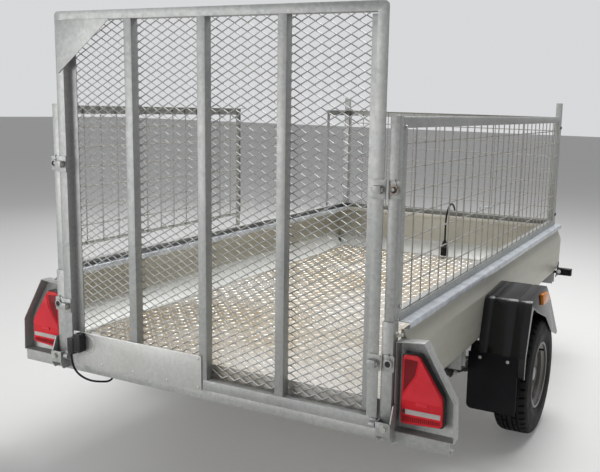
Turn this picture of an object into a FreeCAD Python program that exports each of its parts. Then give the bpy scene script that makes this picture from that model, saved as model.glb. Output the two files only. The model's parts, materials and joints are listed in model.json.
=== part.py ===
import FreeCAD, Part
import math
import os

os.makedirs("parts", exist_ok=True)
V = FreeCAD.Vector

# Construction frame: X to the trailer's right, Y forward from the closed
# gate's rear face, Z up from the ground. The finished part is moved along Y
# so that its overall box is centred.

# Overall stations along Y
body_front = 2225.0       # outer face of the front board
axle_y = 1090.0           # wheel centre behind the middle of the body
ball_y = 3290.0           # centre of the ball socket

# Heights
gate_z0 = 385.0           # lower edge of the closed gate
gate_h = 1185.0
floor_z = 460.0           # top of the floor plate
rim_z = 694.0             # top of the rolled rim
fold_z = 614.0            # crease along the side wall
wall_z0 = 455.0           # lower edge of the side wall
rail_z = 1268.0           # top of the mesh panels
rear_post_z = 1272.0      # top of the two rear posts
front_post_z = 1339.0     # the front posts stand higher
bar_z0, bar_z1 = 344.0, 380.0     # rear crossbar
tyre_r = 240.0

# Half widths
gate_x = 600.0
post_x0, post_x1 = 609.0, 637.0   # post section, outer face flush with the mesh
rim_x0, rim_x1 = 604.0, 670.0
fold_x = 672.0
bar_x = 816.0
house_x1 = 827.0
guard_x0, guard_x1 = fold_x, 850.0
tyre_x0, tyre_x1 = 697.0, 842.0

# Sections and thicknesses
angle = 30.0              # leg of the gate and mesh angles
angle_t = 3.0
stile_w = 33.0            # rear flange of the gate's stiles and lower rail
sheet = 2.0
sheet_floor = 3.0
channel_t = 3.0
wire = 4.0                # wire of the welded mesh
mesh_t = 3.0
post_w = post_x1 - post_x0
post_t = 3.0
fit_gap = 0.3             # post in socket, tube in tube, pin in knuckle
move_gap = 5.0            # between pieces that move past each other
socket_t = 3.2
post_y0 = 11.5            # rear face of the rear posts
front_post_y1 = body_front - 17.0
front_post_y0 = front_post_y1 - post_w

parts = {}


def box(x0, x1, y0, y1, z0, z1):
    return Part.makeBox(x1 - x0, y1 - y0, z1 - z0, V(x0, y0, z0))


def cyl_x(r, x0, x1, y, z):
    return Part.makeCylinder(r, x1 - x0, V(x0, y, z), V(1, 0, 0))


def cyl_y(r, y0, y1, x, z):
    return Part.makeCylinder(r, y1 - y0, V(x, y0, z), V(0, 1, 0))


def cyl_z(r, z0, z1, x, y):
    return Part.makeCylinder(r, z1 - z0, V(x, y, z0), V(0, 0, 1))


def prism(points, axis, a0, a1):
    """Extrudes a closed outline along axis from a0 to a1.

    The outline's two coordinates are the other two axes in order.
    """
    place = {"x": lambda p: V(a0, p[0], p[1]),
             "y": lambda p: V(p[0], a0, p[1]),
             "z": lambda p: V(p[0], p[1], a0)}[axis]
    ring = [place(p) for p in points]
    face = Part.Face(Part.makePolygon(ring + ring[:1]))
    run = {"x": V(a1 - a0, 0, 0), "y": V(0, a1 - a0, 0), "z": V(0, 0, a1 - a0)}[axis]
    return face.extrude(run)


def smooth(corners, axis, a0, a1):
    """Extrudes an outline whose corners carry their own radius: (a, b, r)."""
    place = {"x": lambda a, b: V(a0, a, b), "y": lambda a, b: V(a, a0, b),
             "z": lambda a, b: V(a, b, a0)}[axis]
    n = len(corners)
    bends = []
    for i, (a, b, r) in enumerate(corners):
        ends = []
        for q in (corners[i - 1], corners[(i + 1) % n]):
            length = math.hypot(q[0] - a, q[1] - b)
            ends.append(((q[0] - a) / length, (q[1] - b) / length))
        (ua, ub), (wa, wb) = ends
        half = math.acos(max(-1.0, min(1.0, ua * wa + ub * wb))) / 2
        cut = r / math.tan(half)
        ma, mb = ua + wa, ub + wb
        to_mid = (r / math.sin(half) - r) / (math.hypot(ma, mb) or 1.0)
        bends.append((place(a + ua * cut, b + ub * cut), place(a + ma * to_mid, b + mb * to_mid),
                      place(a + wa * cut, b + wb * cut)))
    edges = []
    for i, (start, mid, end) in enumerate(bends):
        if corners[i][2] > 0:
            edges.append(Part.Arc(start, mid, end).toShape())
        edges.append(Part.makeLine(end, bends[(i + 1) % n][0]))
    run = {"x": V(a1 - a0, 0, 0), "y": V(0, a1 - a0, 0), "z": V(0, 0, a1 - a0)}[axis]
    return Part.Face(Part.Wire(edges)).extrude(run)


def folded(points, t):
    """Closed outline of a sheet that follows points, t thick on their left."""
    n = len(points)
    side = []
    for i in range(n):
        dirs = []
        for j in (i - 1, i):
            if 0 <= j < n - 1:
                dx = points[j + 1][0] - points[j][0]
                dy = points[j + 1][1] - points[j][1]
                length = math.hypot(dx, dy)
                dirs.append((-dy / length, dx / length))
        nx = sum(d[0] for d in dirs) / len(dirs)
        ny = sum(d[1] for d in dirs) / len(dirs)
        k = t / (nx * nx + ny * ny)
        side.append((points[i][0] + nx * k, points[i][1] + ny * k))
    return list(points) + side[::-1]


def mirrored(shape):
    return shape.mirror(V(0, 0, 0), V(1, 0, 0))


def pair(shape):
    """The right-hand shape and its left-hand twin as separate solids."""
    return solids(shape) + solids(mirrored(shape))


def solids(shape):
    return list(shape.Solids) if shape.Solids else [shape]


def fuse(shapes):
    out = shapes[0]
    for s in shapes[1:]:
        out = out.fuse(s)
    return out.removeSplitter()


def put(name, shapes):
    flat = []
    for s in (shapes if isinstance(shapes, (list, tuple)) else [shapes]):
        flat.extend(solids(s))
    parts[name] = flat


def angle_y(x_out, z_top, y0, y1, inward, leg=angle, drop=angle):
    """Angle along Y: vertical leg at x_out, flat leg on top going inward."""
    x_in = x_out + inward * angle_t
    vert = box(min(x_out, x_in), max(x_out, x_in), y0, y1, z_top - drop, z_top)
    x_far = x_out + inward * leg
    flat = box(min(x_out, x_far), max(x_out, x_far), y0, y1, z_top - angle_t, z_top)
    return fuse([vert, flat])


def angle_x(y_out, z_top, x0, x1, drop=angle):
    """Angle along X: vertical leg at its front face y_out, flat leg rearward."""
    vert = box(x0, x1, y_out - angle_t, y_out, z_top - drop, z_top)
    flat = box(x0, x1, y_out - angle, y_out, z_top - angle_t, z_top)
    return fuse([vert, flat])


def pierced(wires, depth):
    """Solid from one outer wire and any number of inner ones."""
    face = Part.makeFace(Part.makeCompound(wires), "Part::FaceMakerBullseye")
    return face.extrude(depth)


def grille(width, height, pitch_a, pitch_b, bar):
    """Flat sheet of crossed bars in the plane of its first two axes."""
    outer = Part.makePolygon([V(0, 0, 0), V(width, 0, 0), V(width, height, 0),
                              V(0, height, 0), V(0, 0, 0)])
    wires = [outer]
    na = max(1, round((width - bar) / pitch_a))
    nb = max(1, round((height - bar) / pitch_b))
    pa, pb = (width - bar) / na, (height - bar) / nb
    for i in range(na):
        for j in range(nb):
            a0, a1 = bar + i * pa, (i + 1) * pa
            b0, b1 = bar + j * pb, (j + 1) * pb
            wires.append(Part.makePolygon([V(a0, b0, 0), V(a1, b0, 0), V(a1, b1, 0),
                                           V(a0, b1, 0), V(a0, b0, 0)]))
    return pierced(wires, V(0, 0, mesh_t))


def stand_along_y(flat, x0, y0, z0):
    """Turns a flat grille so that it stands along Y with its back at x0."""
    out = flat.copy()
    out.Placement = FreeCAD.Placement(
        FreeCAD.Matrix(0, 0, 1, x0, 1, 0, 0, y0, 0, 1, 0, z0, 0, 0, 0, 1))
    return out


def stand_along_x(flat, x0, y0, z0):
    """Turns a flat grille so that it stands along X, thickness toward -Y."""
    out = flat.copy()
    out.Placement = FreeCAD.Placement(
        FreeCAD.Matrix(1, 0, 0, x0, 0, 0, -1, y0, 0, 1, 0, z0, 0, 0, 0, 1))
    return out


def rounded_rect(x0, x1, z0, z1, r, y):
    """Closed wire in an XZ plane with four equal corner radii."""
    k = r * (1 - math.sqrt(0.5))
    e = []
    corners = [(x1 - r, z0, x1, z0 + r, x1 - k, z0 + k),
               (x1, z1 - r, x1 - r, z1, x1 - k, z1 - k),
               (x0 + r, z1, x0, z1 - r, x0 + k, z1 - k),
               (x0, z0 + r, x0 + r, z0, x0 + k, z0 + k)]
    for i, c in enumerate(corners):
        e.append(Part.Arc(V(c[0], y, c[1]), V(c[4], y, c[5]), V(c[2], y, c[3])).toShape())
        n = corners[(i + 1) % 4]
        e.append(Part.LineSegment(V(c[2], y, c[3]), V(n[0], y, n[1])).toShape())
    return Part.Wire(Part.__sortEdges__(e))


# Load floor and chassis
floor_under = floor_z - sheet_floor
rail_x0, rail_x1 = 560.0, 600.0
floor_x = 660.0
floor_y0, floor_y1 = angle + mesh_t + move_gap, body_front - 11.5
tail_x, tail_y = 640.0, 48.0      # the floor's narrower tail passes between the lamp housings
lip_x, lip_z = 596.0, 400.0       # folded rear edge between the post sockets
wall_y0, wall_y1 = 60.0, body_front
rail_y0, rail_y1 = floor_y0 + sheet_floor, body_front - 23.0
put("floor_plate", fuse([box(-floor_x, floor_x, wall_y0, floor_y1, floor_under, floor_z),
                         box(-tail_x, tail_x, tail_y, wall_y0, floor_under, floor_z),
                         box(-lip_x, lip_x, floor_y0, tail_y, floor_under, floor_z),
                         box(-lip_x, lip_x, floor_y0, floor_y0 + sheet_floor, lip_z, floor_z)]))

rail_outline = folded([(rail_x0, floor_under), (rail_x1, floor_under),
                       (rail_x1, bar_z1), (rail_x0, bar_z1)], -channel_t)
put("side_rails", pair(prism(rail_outline, "y", rail_y0, rail_y1)))

# cross members between the rails and their short ends outside them: station along Y
cross_rows = [120.0, 600.0, 1065.0, 1560.0, 2150.0]
cross_w = 50.0
tip_x = rim_x1 - 15.0
cross = []
for y in cross_rows:
    c_line = folded([(y, bar_z1), (y, floor_under), (y + cross_w, floor_under),
                     (y + cross_w, bar_z1)], -channel_t)
    t_line = folded([(y, bar_z1), (y, wall_z0), (y + cross_w, wall_z0),
                     (y + cross_w, bar_z1)], -channel_t)
    cross.append(prism(c_line, "x", -rail_x0, rail_x0))
    cross += pair(prism(t_line, "x", rail_x1, tip_x))
put("cross_members", cross)

# Rear crossbar: channel with its web to the rear, with the fixed halves of the gate's hinges
bar_y0, bar_y1 = 18.0, 58.0
bar_line = folded([(bar_y1, bar_z0), (bar_y0, bar_z0), (bar_y0, bar_z1), (bar_y1, bar_z1)],
                  -channel_t)
hinge_y, hinge_z = -6.0, 400.0
pin_r = 5.0
ear_r, ear_w = 10.0, 18.0
hook_x0, hook_x1 = gate_x + move_gap, 651.0      # bracket outside the gate's edge
hook_t = 4.0
hook_y, hook_top, hook_low = -20.0, 415.0, 375.0
foot_z = 352.0
sock_y = 8.0              # rear face of the post sockets
inner_cheek = smooth([(bar_y0, foot_z, 0), (bar_y0, bar_z1, 0), (sock_y, bar_z1, 0),
                      (sock_y, hook_top, 0), (hook_y, hook_top, 3), (hook_y, hook_low, 3),
                      (hook_y + 10, foot_z, 4)], "x", hook_x0, hook_x0 + hook_t)
outer_cheek = smooth([(bar_y0, foot_z, 0), (bar_y0, 462.0, 3), (2.0, 462.0, 5),
                      (hook_y, hinge_z, 6), (hook_y, hook_low, 3), (hook_y + 12, foot_z, 4)],
                     "x", hook_x1 - hook_t, hook_x1)
hook_back = smooth([(hook_x0, hook_low, 3), (hook_x1, hook_low, 3), (hook_x1, hook_top, 7),
                    (hook_x0, hook_top, 7)], "y", hook_y, hook_y + hook_t)
pin = cyl_x(pin_r, gate_x - ear_w, hook_x1, hinge_y, hinge_z)
hook = fuse([inner_cheek, outer_cheek, hook_back, pin])
# the lamp cable passes up through a hole in the lower flange
cable_hole = (-412.0, 36.0)
bar_shape = prism(bar_line, "x", -bar_x, bar_x).cut(
    cyl_z(5.0, bar_z0 - 1, bar_z0 + channel_t + 1, *cable_hole))
put("rear_crossbar", fuse([bar_shape, hook, mirrored(hook)]))

# moving half of each hinge: ear with a bored barrel behind the gate's lower corner
strap_t = 5.0
ear = cyl_x(ear_r, gate_x - ear_w, gate_x, hinge_y, hinge_z)
strap = box(gate_x - ear_w, gate_x, -strap_t, 0.0, gate_z0 + 3, hinge_z + 16)
knuckle = fuse([ear, strap]).common(
    box(gate_x - ear_w, gate_x, -50.0, 0.0, gate_z0, hinge_z + 50)).cut(
    cyl_x(pin_r + fit_gap, gate_x - ear_w, gate_x, hinge_y, hinge_z))

# Side walls: one folded sheet each, with a rolled rim on top
rim_h = 21.0
neck_x, neck_z = 652.0, 663.0
foot_x = 668.0
flange_x = 614.0
wall_line = [(rim_x0, rim_z - rim_h), (rim_x0, rim_z), (rim_x1, rim_z),
             (rim_x1, rim_z - rim_h), (neck_x, rim_z - rim_h), (neck_x, neck_z),
             (fold_x, fold_z), (foot_x, wall_z0), (flange_x, wall_z0)]
wall = prism(folded(wall_line, -sheet), "y", wall_y0, wall_y1)
put("side_wall_right", wall)
put("side_wall_left", mirrored(wall))

# Front board: rim between the side rims, sheet that fills the walls' section, foot flange
board_y = body_front - 9.0
rim_w = 53.0
board_rim = prism(folded([(body_front - rim_w, rim_z - rim_h), (body_front - rim_w, rim_z),
                          (body_front, rim_z), (body_front, rim_z - rim_h),
                          (board_y - sheet, rim_z - rim_h)], -sheet), "x", -rim_x0, rim_x0)
inner = sheet + fit_gap
board_half = [(neck_x - inner, rim_z - rim_h), (neck_x - inner, neck_z),
              (fold_x - inner - 1, fold_z), (foot_x - inner, wall_z0 + sheet),
              (flange_x - 4, wall_z0 + sheet), (flange_x - 4, wall_z0)]
board_sheet = prism(board_half + [(-p[0], p[1]) for p in board_half[::-1]], "y",
                    board_y - sheet, board_y)
board_foot = box(4 - flange_x, flange_x - 4, board_y - 13, board_y, wall_z0, wall_z0 + sheet)
put("front_board", fuse([board_rim, board_sheet, board_foot]))

# Slanted kick strips along the foot of the walls and the front board
kick_h, kick_lip = 60.0, 14.0
kick_w = 54.0
kick_foot = 14.0
kick_z = floor_z + kick_h


def kick(reach):
    """Outline of a strip: foot on the floor, slope, short lip that ends at reach."""
    return folded([(reach - kick_w - kick_foot, floor_z), (reach - kick_w, floor_z),
                   (reach, kick_z), (reach, kick_z + kick_lip)], sheet)


kick_y = board_y - sheet - fit_gap
kick_side = prism(kick(foot_x - sheet + 1.4), "y", wall_y0, kick_y - kick_w - kick_foot - 2)
kick_front = prism(kick(kick_y), "x", 20 - floor_x, floor_x - 20)
put("kick_strips", pair(kick_side) + [kick_front])

# Sockets and posts at the rear corners
sock_gap = socket_t + fit_gap
sx0, sx1 = post_x0 - sock_gap, post_x1 + sock_gap
sy0, sy1 = post_y0 - sock_gap, post_y0 + post_w + sock_gap
sock_z1 = 701.0
sock = box(sx0, sx1, sy0, sy1, bar_z1, sock_z1).cut(
    box(post_x0 - fit_gap, post_x1 + fit_gap, post_y0 - fit_gap,
        post_y0 + post_w + fit_gap, bar_z1 + 40, sock_z1))
put("post_sockets", pair(sock))


def post(x0, x1, y0, y1, z0, z1):
    """Square tube with a closed top."""
    t = post_t
    return box(x0, x1, y0, y1, z0, z1).cut(box(x0 + t, x1 - t, y0 + t, y1 - t, z0, z1 - t))


put("rear_posts", pair(post(post_x0, post_x1, post_y0, post_y0 + post_w, bar_z1 + 40,
                            rear_post_z)))
put("front_posts", pair(post(post_x0, post_x1, front_post_y0, front_post_y1,
                             rim_z, front_post_z)))

# Mesh panel frames: right side in one piece, left side in two
low_drop = 25.0
low_z = rim_z + low_drop
p_y0, p_y1 = post_y0 + post_w, front_post_y0
side_y0 = wall_y0
left_gap = (1100.0, 1960.0)       # open stretch of the left side
fy = front_post_y1 - 4.0          # front face of the front frame
bar_low = sock_z1 + 3.0           # foot of the bars beside the rear posts
left_low = low_z + 50.0           # the left panel's own lower bar
left_low_h = 12.0


def upright(x_out, y0, z0):
    """Flat bar on the panel's outer face line from z0 up to the top angle."""
    x_in = x_out - math.copysign(angle_t, x_out)
    return box(min(x_out, x_in), max(x_out, x_in), y0, y0 + angle, z0, rail_z - angle)


corner_clear = box(-post_x0, post_x0, fy - angle, fy, rim_z, rail_z)
right_frame = fuse([
    angle_y(post_x1, rail_z, p_y0, p_y1, -1),
    angle_y(post_x1, low_z, side_y0, p_y1, -1, drop=low_drop),
    upright(post_x1, p_y1 - angle, low_z), upright(post_x1, p_y0, bar_low)])
put("side_frame_right", right_frame.cut(corner_clear))
left_frame = fuse([
    angle_y(-post_x1, rail_z, p_y0, left_gap[0], 1),
    angle_y(-post_x1, rail_z, left_gap[1], p_y1, 1),
    angle_y(-post_x1, low_z, side_y0, p_y1, 1, drop=low_drop),
    upright(-post_x1, p_y0, bar_low), upright(-post_x1, left_gap[0] - angle, low_z),
    upright(-post_x1, left_gap[1], low_z),
    box(-post_x1, angle_t - post_x1, p_y0 + angle, left_gap[0] - angle, left_low,
        left_low + left_low_h)])
put("side_frame_left", left_frame.cut(corner_clear))
put("front_frame", [angle_x(fy, rail_z, -post_x0, post_x0),
                    angle_x(fy, low_z, -post_x0, post_x0, drop=low_drop)])

# Welded mesh
pitch_y, pitch_z = 79.0, 70.0
m_z0, m_z1 = low_z, rail_z - angle_t
mesh_x = post_x1 - angle_t - mesh_t
mesh_y0 = side_y0 + 2.0
right_flat = grille(p_y1 - 8 - mesh_y0, m_z1 - m_z0, pitch_y, pitch_z, wire)
put("side_mesh_right", stand_along_y(right_flat, mesh_x, mesh_y0, m_z0))
left_flat = grille(left_gap[0] - mesh_y0, m_z1 - left_low, pitch_y, pitch_z, wire)
put("side_mesh_left", stand_along_y(left_flat, -mesh_x - mesh_t, mesh_y0, left_low))
front_flat = grille(2 * post_x0 - 8, m_z1 - m_z0, pitch_y, pitch_z, wire)
put("front_mesh", stand_along_x(front_flat, 4 - post_x0, fy - angle_t, m_z0))

# Gate: rounded frame with a rear flange, a web and a front flange on the stiles,
# three bars, diamonds, plates
g_z1 = gate_z0 + gate_h
corner_r = 14.0
top_w = 28.0
face_open = (-gate_x + stile_w, gate_x - stile_w, gate_z0 + stile_w, g_z1 - top_w)
outer = rounded_rect(-gate_x, gate_x, gate_z0, g_z1, corner_r, 0.0)
opening = rounded_rect(*face_open, 2.0, 0.0)
rear_face = pierced([outer, opening], V(0, angle_t, 0))
web_out = rounded_rect(face_open[0] - angle_t, face_open[1] + angle_t,
                       face_open[2] - angle_t, face_open[3] + angle_t, 5.0, 0.0)
web = pierced([web_out, opening], V(0, angle, 0))
grip = box(face_open[1] - 28, face_open[1], angle - angle_t, angle, face_open[2] + 3,
           face_open[3] - 3)
put("gate_frame", fuse([rear_face, web, grip, mirrored(grip)]))

# left edge of each upright bar
gate_bars = [-306.0, -24.0, 258.0]
bars = []
for x in gate_bars:
    bars.append(fuse([box(x, x + angle, 0, angle_t, face_open[2], face_open[3]),
                      box(x + angle - angle_t, x + angle, 0, angle, face_open[2],
                          face_open[3])]))
put("gate_bars", bars)

diamond_x, diamond_z = 72.0, 40.0
strand = 6.5


def diamonds(width, height, px, pz, bar):
    """Flat sheet of diamond openings in staggered rows."""
    outer = Part.makePolygon([V(0, 0, 0), V(width, 0, 0), V(width, height, 0),
                              V(0, height, 0), V(0, 0, 0)])
    nx, nz = round(width / px), round(height / pz)
    px, pz = width / nx, height / nz
    slope = math.hypot(px, pz)
    ax = px / 2 - bar * slope / (2 * pz)
    az = pz / 2 - bar * slope / (2 * px)
    wires = [outer]
    for j in range(2 * nz - 1):
        zc = (j + 1) * pz / 2
        shift = px / 2 if j % 2 == 0 else px
        for i in range(nx):
            xc = shift + i * px
            if xc + ax > width - 1:
                continue
            pts = [V(xc - ax, zc, 0), V(xc, zc - az, 0), V(xc + ax, zc, 0),
                   V(xc, zc + az, 0), V(xc - ax, zc, 0)]
            wires.append(Part.makePolygon(pts))
    return pierced(wires, V(0, 0, mesh_t))


gm_x = face_open[1] - 2
gm_z0, gm_z1 = face_open[2] - 8, face_open[3] + 8
gate_flat = diamonds(2 * gm_x, gm_z1 - gm_z0, diamond_x, diamond_z, strand)
put("gate_mesh", stand_along_x(gate_flat, -gm_x, angle + mesh_t, gm_z0))

# corner plate: outline in the gate's plane
gusset = [(9 - gate_x, g_z1 - top_w), (-362.0, g_z1 - top_w), (13 - gate_x, g_z1 - 198)]
put("gate_gusset", prism(gusset, "y", -angle_t, 0.0))

plate_x0, plate_x1 = -558.0, -12.0
plate_z0, plate_z1 = 380.0, 497.0
plate_t = 4.0
plate_box = smooth([(plate_x0, plate_z0, 6), (plate_x1, plate_z0, 6), (plate_x1, plate_z1, 6),
                    (plate_x0, plate_z1, 6)], "y", -plate_t, 0.0)
put("number_plate", plate_box)
lamp_z0, lamp_z1 = 422.0, 496.0
lamp_x0, lamp_x1 = -560.0, -530.0
lamp_d = 34.0
put("plate_lamp", box(lamp_x0, lamp_x1, -lamp_d, 0.0, lamp_z0, lamp_z1).cut(plate_box))

# Latches on the gate's stiles and their catches on the posts and sockets:
# height of the bolt, rear face of what carries the catch, half height of the plate
latch_rows = [(1072.0, post_y0, 27.0), (582.0, sy0, 24.0)]
bolt_y, bolt_r = -12.0, 6.0
catch_x0, catch_x1 = post_x0 + 4, post_x1 + 10
catch_t, boss_t, boss_r, catch_hole = 3.5, 6.0, 13.5, 9.0
latch_plates, catches = [], []
for z, y_post, half in latch_rows:
    plate = smooth([(face_open[1], z - half, 4), (catch_x0 - move_gap, z - half, 4),
                    (catch_x0 - move_gap, z + half, 4), (face_open[1], z + half, 4)],
                   "y", -4.0, 0.0)
    guide = box(gate_x - 26, gate_x - 2, -21.0, -4.0, z - 11, z + 11)
    rod = cyl_x(bolt_r, gate_x - 30, gate_x + 4, bolt_y, z)
    latch_plates.append(fuse([plate, guide, rod]))
    xm = (catch_x0 + catch_x1) / 2
    base = smooth([(catch_x0, z - 24, 5), (catch_x1, z - 24, 5), (catch_x1, z + 24, 5),
                   (catch_x0, z + 24, 5)], "y", y_post - catch_t, y_post)
    boss = cyl_y(boss_r, y_post - catch_t - boss_t, y_post - catch_t, xm, z)
    catches.append(fuse([base, boss]).cut(
        cyl_y(catch_hole, y_post - catch_t - boss_t, y_post, xm, z)))
put("gate_latches", [q for s in latch_plates for q in pair(s)])
put("latch_catches", [q for s in catches for q in pair(s)])
put("gate_knuckles", pair(knuckle))

# Lamp housings: folded boxes open to the rear, standing on the crossbar
house_x0 = 645.0
house_y0, house_y1 = 18.0, 58.0
outline = [(house_x0, bar_z1), (house_x1, bar_z1), (house_x1 - 4, 496.0),
           (730.0, 653.0), (house_x0, 646.0)]
house = prism(outline, "y", house_y0, house_y1)


def inward(points, t):
    """Outline moved inward by t on every side, points counterclockwise."""
    n = len(points)
    out = []
    for i in range(n):
        ax, az = points[i - 1]
        bx, bz = points[i]
        dx, dz = points[(i + 1) % n]
        l1, l2 = math.hypot(bx - ax, bz - az), math.hypot(dx - bx, dz - bz)
        n1 = (-(bz - az) / l1, (bx - ax) / l1)
        n2 = (-(dz - bz) / l2, (dx - bx) / l2)
        sx, sz = n1[0] + n2[0], n1[1] + n2[1]
        k = 2 * t / (sx * sx + sz * sz)
        out.append((bx + sx * k, bz + sz * k))
    return out


house = house.cut(prism(inward(outline, sheet), "y", house_y0, house_y1 - sheet))
put("lamp_housings", pair(house))
lens = [(662.0, 405.0, 9), (788.0, 413.0, 9), (787.0, 498.0, 16), (712.0, 611.0, 14),
        (662.0, 608.0, 9)]
put("tail_lamps", pair(smooth(lens, "y", 26.0, house_y1 - sheet)))

# Axle, leaf springs and hangers
beam = 40.0
beam_x = 640.0
spindle_r = 14.0
hub_r = 48.0
wheel_x = tyre_x1 - 72.5
beam_shape = box(-beam_x, beam_x, axle_y - beam / 2, axle_y + beam / 2,
                 tyre_r - beam / 2, tyre_r + beam / 2)
spindle = cyl_x(spindle_r, beam_x, wheel_x + 28, axle_y, tyre_r)
put("axle_beam", fuse([beam_shape, spindle, mirrored(spindle)]))

spring_x0, spring_x1 = 560.0, 600.0
leaf_t = 6.0
# half length of each leaf, longest on top
leaf_rows = [430.0, 340.0, 250.0, 160.0]
spring_rise = 66.0
seat_z = tyre_r + beam / 2


def leaf(half, z_mid):
    """Curved strip, thicker toward nothing: an arc through three points."""
    bow = spring_rise * (half / leaf_rows[0]) ** 2
    lo = [V(spring_x0, axle_y - half, z_mid + bow), V(spring_x0, axle_y, z_mid),
          V(spring_x0, axle_y + half, z_mid + bow)]
    hi = [p + V(0, 0, leaf_t) for p in lo]
    a = Part.Arc(*lo).toShape()
    b = Part.Arc(*hi).toShape()
    e1 = Part.LineSegment(lo[2], hi[2]).toShape()
    e2 = Part.LineSegment(hi[0], lo[0]).toShape()
    face = Part.Face(Part.Wire(Part.__sortEdges__([a, e1, b, e2])))
    return face.extrude(V(spring_x1 - spring_x0, 0, 0))


n_leaf = len(leaf_rows)
leaves = [leaf(h, seat_z + (n_leaf - 1 - i) * (leaf_t + 0.0)) for i, h in enumerate(leaf_rows)]
top_z = seat_z + n_leaf * leaf_t
eye_z = seat_z + (n_leaf - 1) * leaf_t + spring_rise + 3
eyes = [cyl_x(14.0, spring_x0, spring_x1, axle_y + s * (leaf_rows[0] + 8), eye_z)
        for s in (-1, 1)]
spring = fuse(leaves + eyes)
for s in (-1, 1):
    spring = spring.cut(cyl_x(8.0, spring_x0, spring_x1, axle_y + s * (leaf_rows[0] + 8), eye_z))
put("leaf_springs", pair(spring))

hang = []
for s in (-1, 1):
    yc = axle_y + s * (leaf_rows[0] + 8)
    for xa in (spring_x0 - 7, spring_x1 + 1):
        tri = prism([(yc - 70, bar_z1), (yc + 70, bar_z1), (yc + 16, eye_z - 14),
                     (yc - 16, eye_z - 14)], "x", xa, xa + 6)
        hang.append(tri)
    bolt = cyl_x(7.7, spring_x0 - 14, spring_x1 + 14, yc, eye_z)
    hang.append(bolt)
hangers = fuse(hang)
put("spring_hangers", pair(hangers))

ub = []
rod_r = 5.0
for s in (-1, 1):
    for xa in (spring_x0 - rod_r - fit_gap, spring_x1 + rod_r + fit_gap):
        ub.append(cyl_z(rod_r, tyre_r - beam / 2 - 22, top_z + 5, xa,
                        axle_y + s * (beam / 2 + 8)))
pad_z = top_z + 0.8
pad_top = box(spring_x0 - 10, spring_x1 + 10, axle_y - beam / 2 - 16, axle_y + beam / 2 + 16,
              pad_z, pad_z + 5)
pad_low = box(spring_x0 - 10, spring_x1 + 10, axle_y - beam / 2 - 16, axle_y + beam / 2 + 16,
              tyre_r - beam / 2 - 6, tyre_r - beam / 2)
put("u_bolts", pair(fuse(ub + [pad_top, pad_low])))

# Wheels, made about the X axis
tyre_w = tyre_x1 - tyre_x0
bead_r, rim_flange_r = 127.0, 134.0


def spun(points, y, z):
    """Solid of revolution about the X axis through (y, z); points are (x, r)."""
    ring = [V(p[0], y, z + p[1]) for p in points]
    face = Part.Face(Part.makePolygon(ring + ring[:1]))
    return face.revolve(V(0, y, z), V(1, 0, 0), 360)


xw0, xw1 = tyre_x0, tyre_x1
bead_gap = 0.2
tyre_line = [(xw0 + 13, bead_r + bead_gap), (xw0 + 13, rim_flange_r + 1),
             (xw0 + 4, 150.0), (xw0, 175.0), (xw0 + 2, 200.0),
             (xw0 + 9, 228.0), (xw0 + 20, tyre_r - 2.5), (xw0 + 34, tyre_r),
             (xw1 - 34, tyre_r), (xw1 - 20, tyre_r - 2.5), (xw1 - 9, 228.0),
             (xw1 - 2, 200.0), (xw1, 175.0), (xw1 - 4, 150.0), (xw1 - 13, rim_flange_r + 1),
             (xw1 - 13, bead_r + bead_gap)]
tyre = spun(tyre_line, axle_y, tyre_r)
air = spun([(xw0 + 25, bead_r - 1), (xw0 + 17, 145.0), (xw0 + 11, 178.0), (xw0 + 18, 214.0),
            (xw0 + 40, tyre_r - 13), (xw1 - 40, tyre_r - 13), (xw1 - 18, 214.0),
            (xw1 - 11, 178.0), (xw1 - 17, 145.0), (xw1 - 25, bead_r - 1)], axle_y, tyre_r)
tyre = tyre.cut(air)
# circumferential grooves: centre across the tread
for x in (xw0 + 44, xw0 + 62, xw1 - 62, xw1 - 44):
    groove = spun([(x - 2.5, tyre_r - 6), (x + 2.5, tyre_r - 6), (x + 3, tyre_r + 2),
                   (x - 3, tyre_r + 2)], axle_y, tyre_r)
    tyre = tyre.cut(groove)

disc_x = wheel_x + 16
disc_t = 4.0
rim = spun([(xw0 + 9, rim_flange_r), (xw0 + 9, bead_r - 4), (xw1 - 9, bead_r - 4),
            (xw1 - 9, rim_flange_r), (xw1 - 12, rim_flange_r), (xw1 - 12, bead_r),
            (xw0 + 12, bead_r), (xw0 + 12, rim_flange_r)], axle_y, tyre_r)
disc = spun([(disc_x - 14, 32.5), (disc_x - 14, 62.0), (disc_x + 12, 92.0), (disc_x + 4, 112.0),
             (disc_x - 4, bead_r - 4), (disc_x - 4 + disc_t, bead_r - 4),
             (disc_x + 9, 113.0), (disc_x + 17, 92.0), (disc_x - 10, 61.0),
             (disc_x - 10, 32.5)], axle_y, tyre_r)
bolt_ring, bolt_n = 50.0, 4
rim = fuse([rim, disc])
bolts = []
for i in range(bolt_n):
    a = math.radians(45 + i * 360 / bolt_n)
    y, z = axle_y + bolt_ring * math.cos(a), tyre_r + bolt_ring * math.sin(a)
    rim = rim.cut(cyl_x(6.3, disc_x - 20, disc_x, y, z))
    bolts.append(fuse([cyl_x(6.0, disc_x - 30, disc_x - 10, y, z),
                       cyl_x(9.0, disc_x - 10, disc_x, y, z)]))
hub = fuse([cyl_x(62.0, disc_x - 26, disc_x - 14, axle_y, tyre_r),
            cyl_x(hub_r - 12, disc_x - 70, disc_x - 26, axle_y, tyre_r),
            cyl_x(32.0, disc_x - 14, disc_x + 6, axle_y, tyre_r),
            cyl_x(26.0, disc_x + 6, disc_x + 26, axle_y, tyre_r)])
hub = hub.cut(cyl_x(spindle_r + fit_gap, disc_x - 70, wheel_x + 30, axle_y, tyre_r))
hub = fuse([hub] + bolts)
for side, turn in (("right", lambda s: s), ("left", mirrored)):
    put("tyre_" + side, turn(tyre))
    put("rim_" + side, turn(rim))
    put("hub_" + side, turn(hub))

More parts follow.
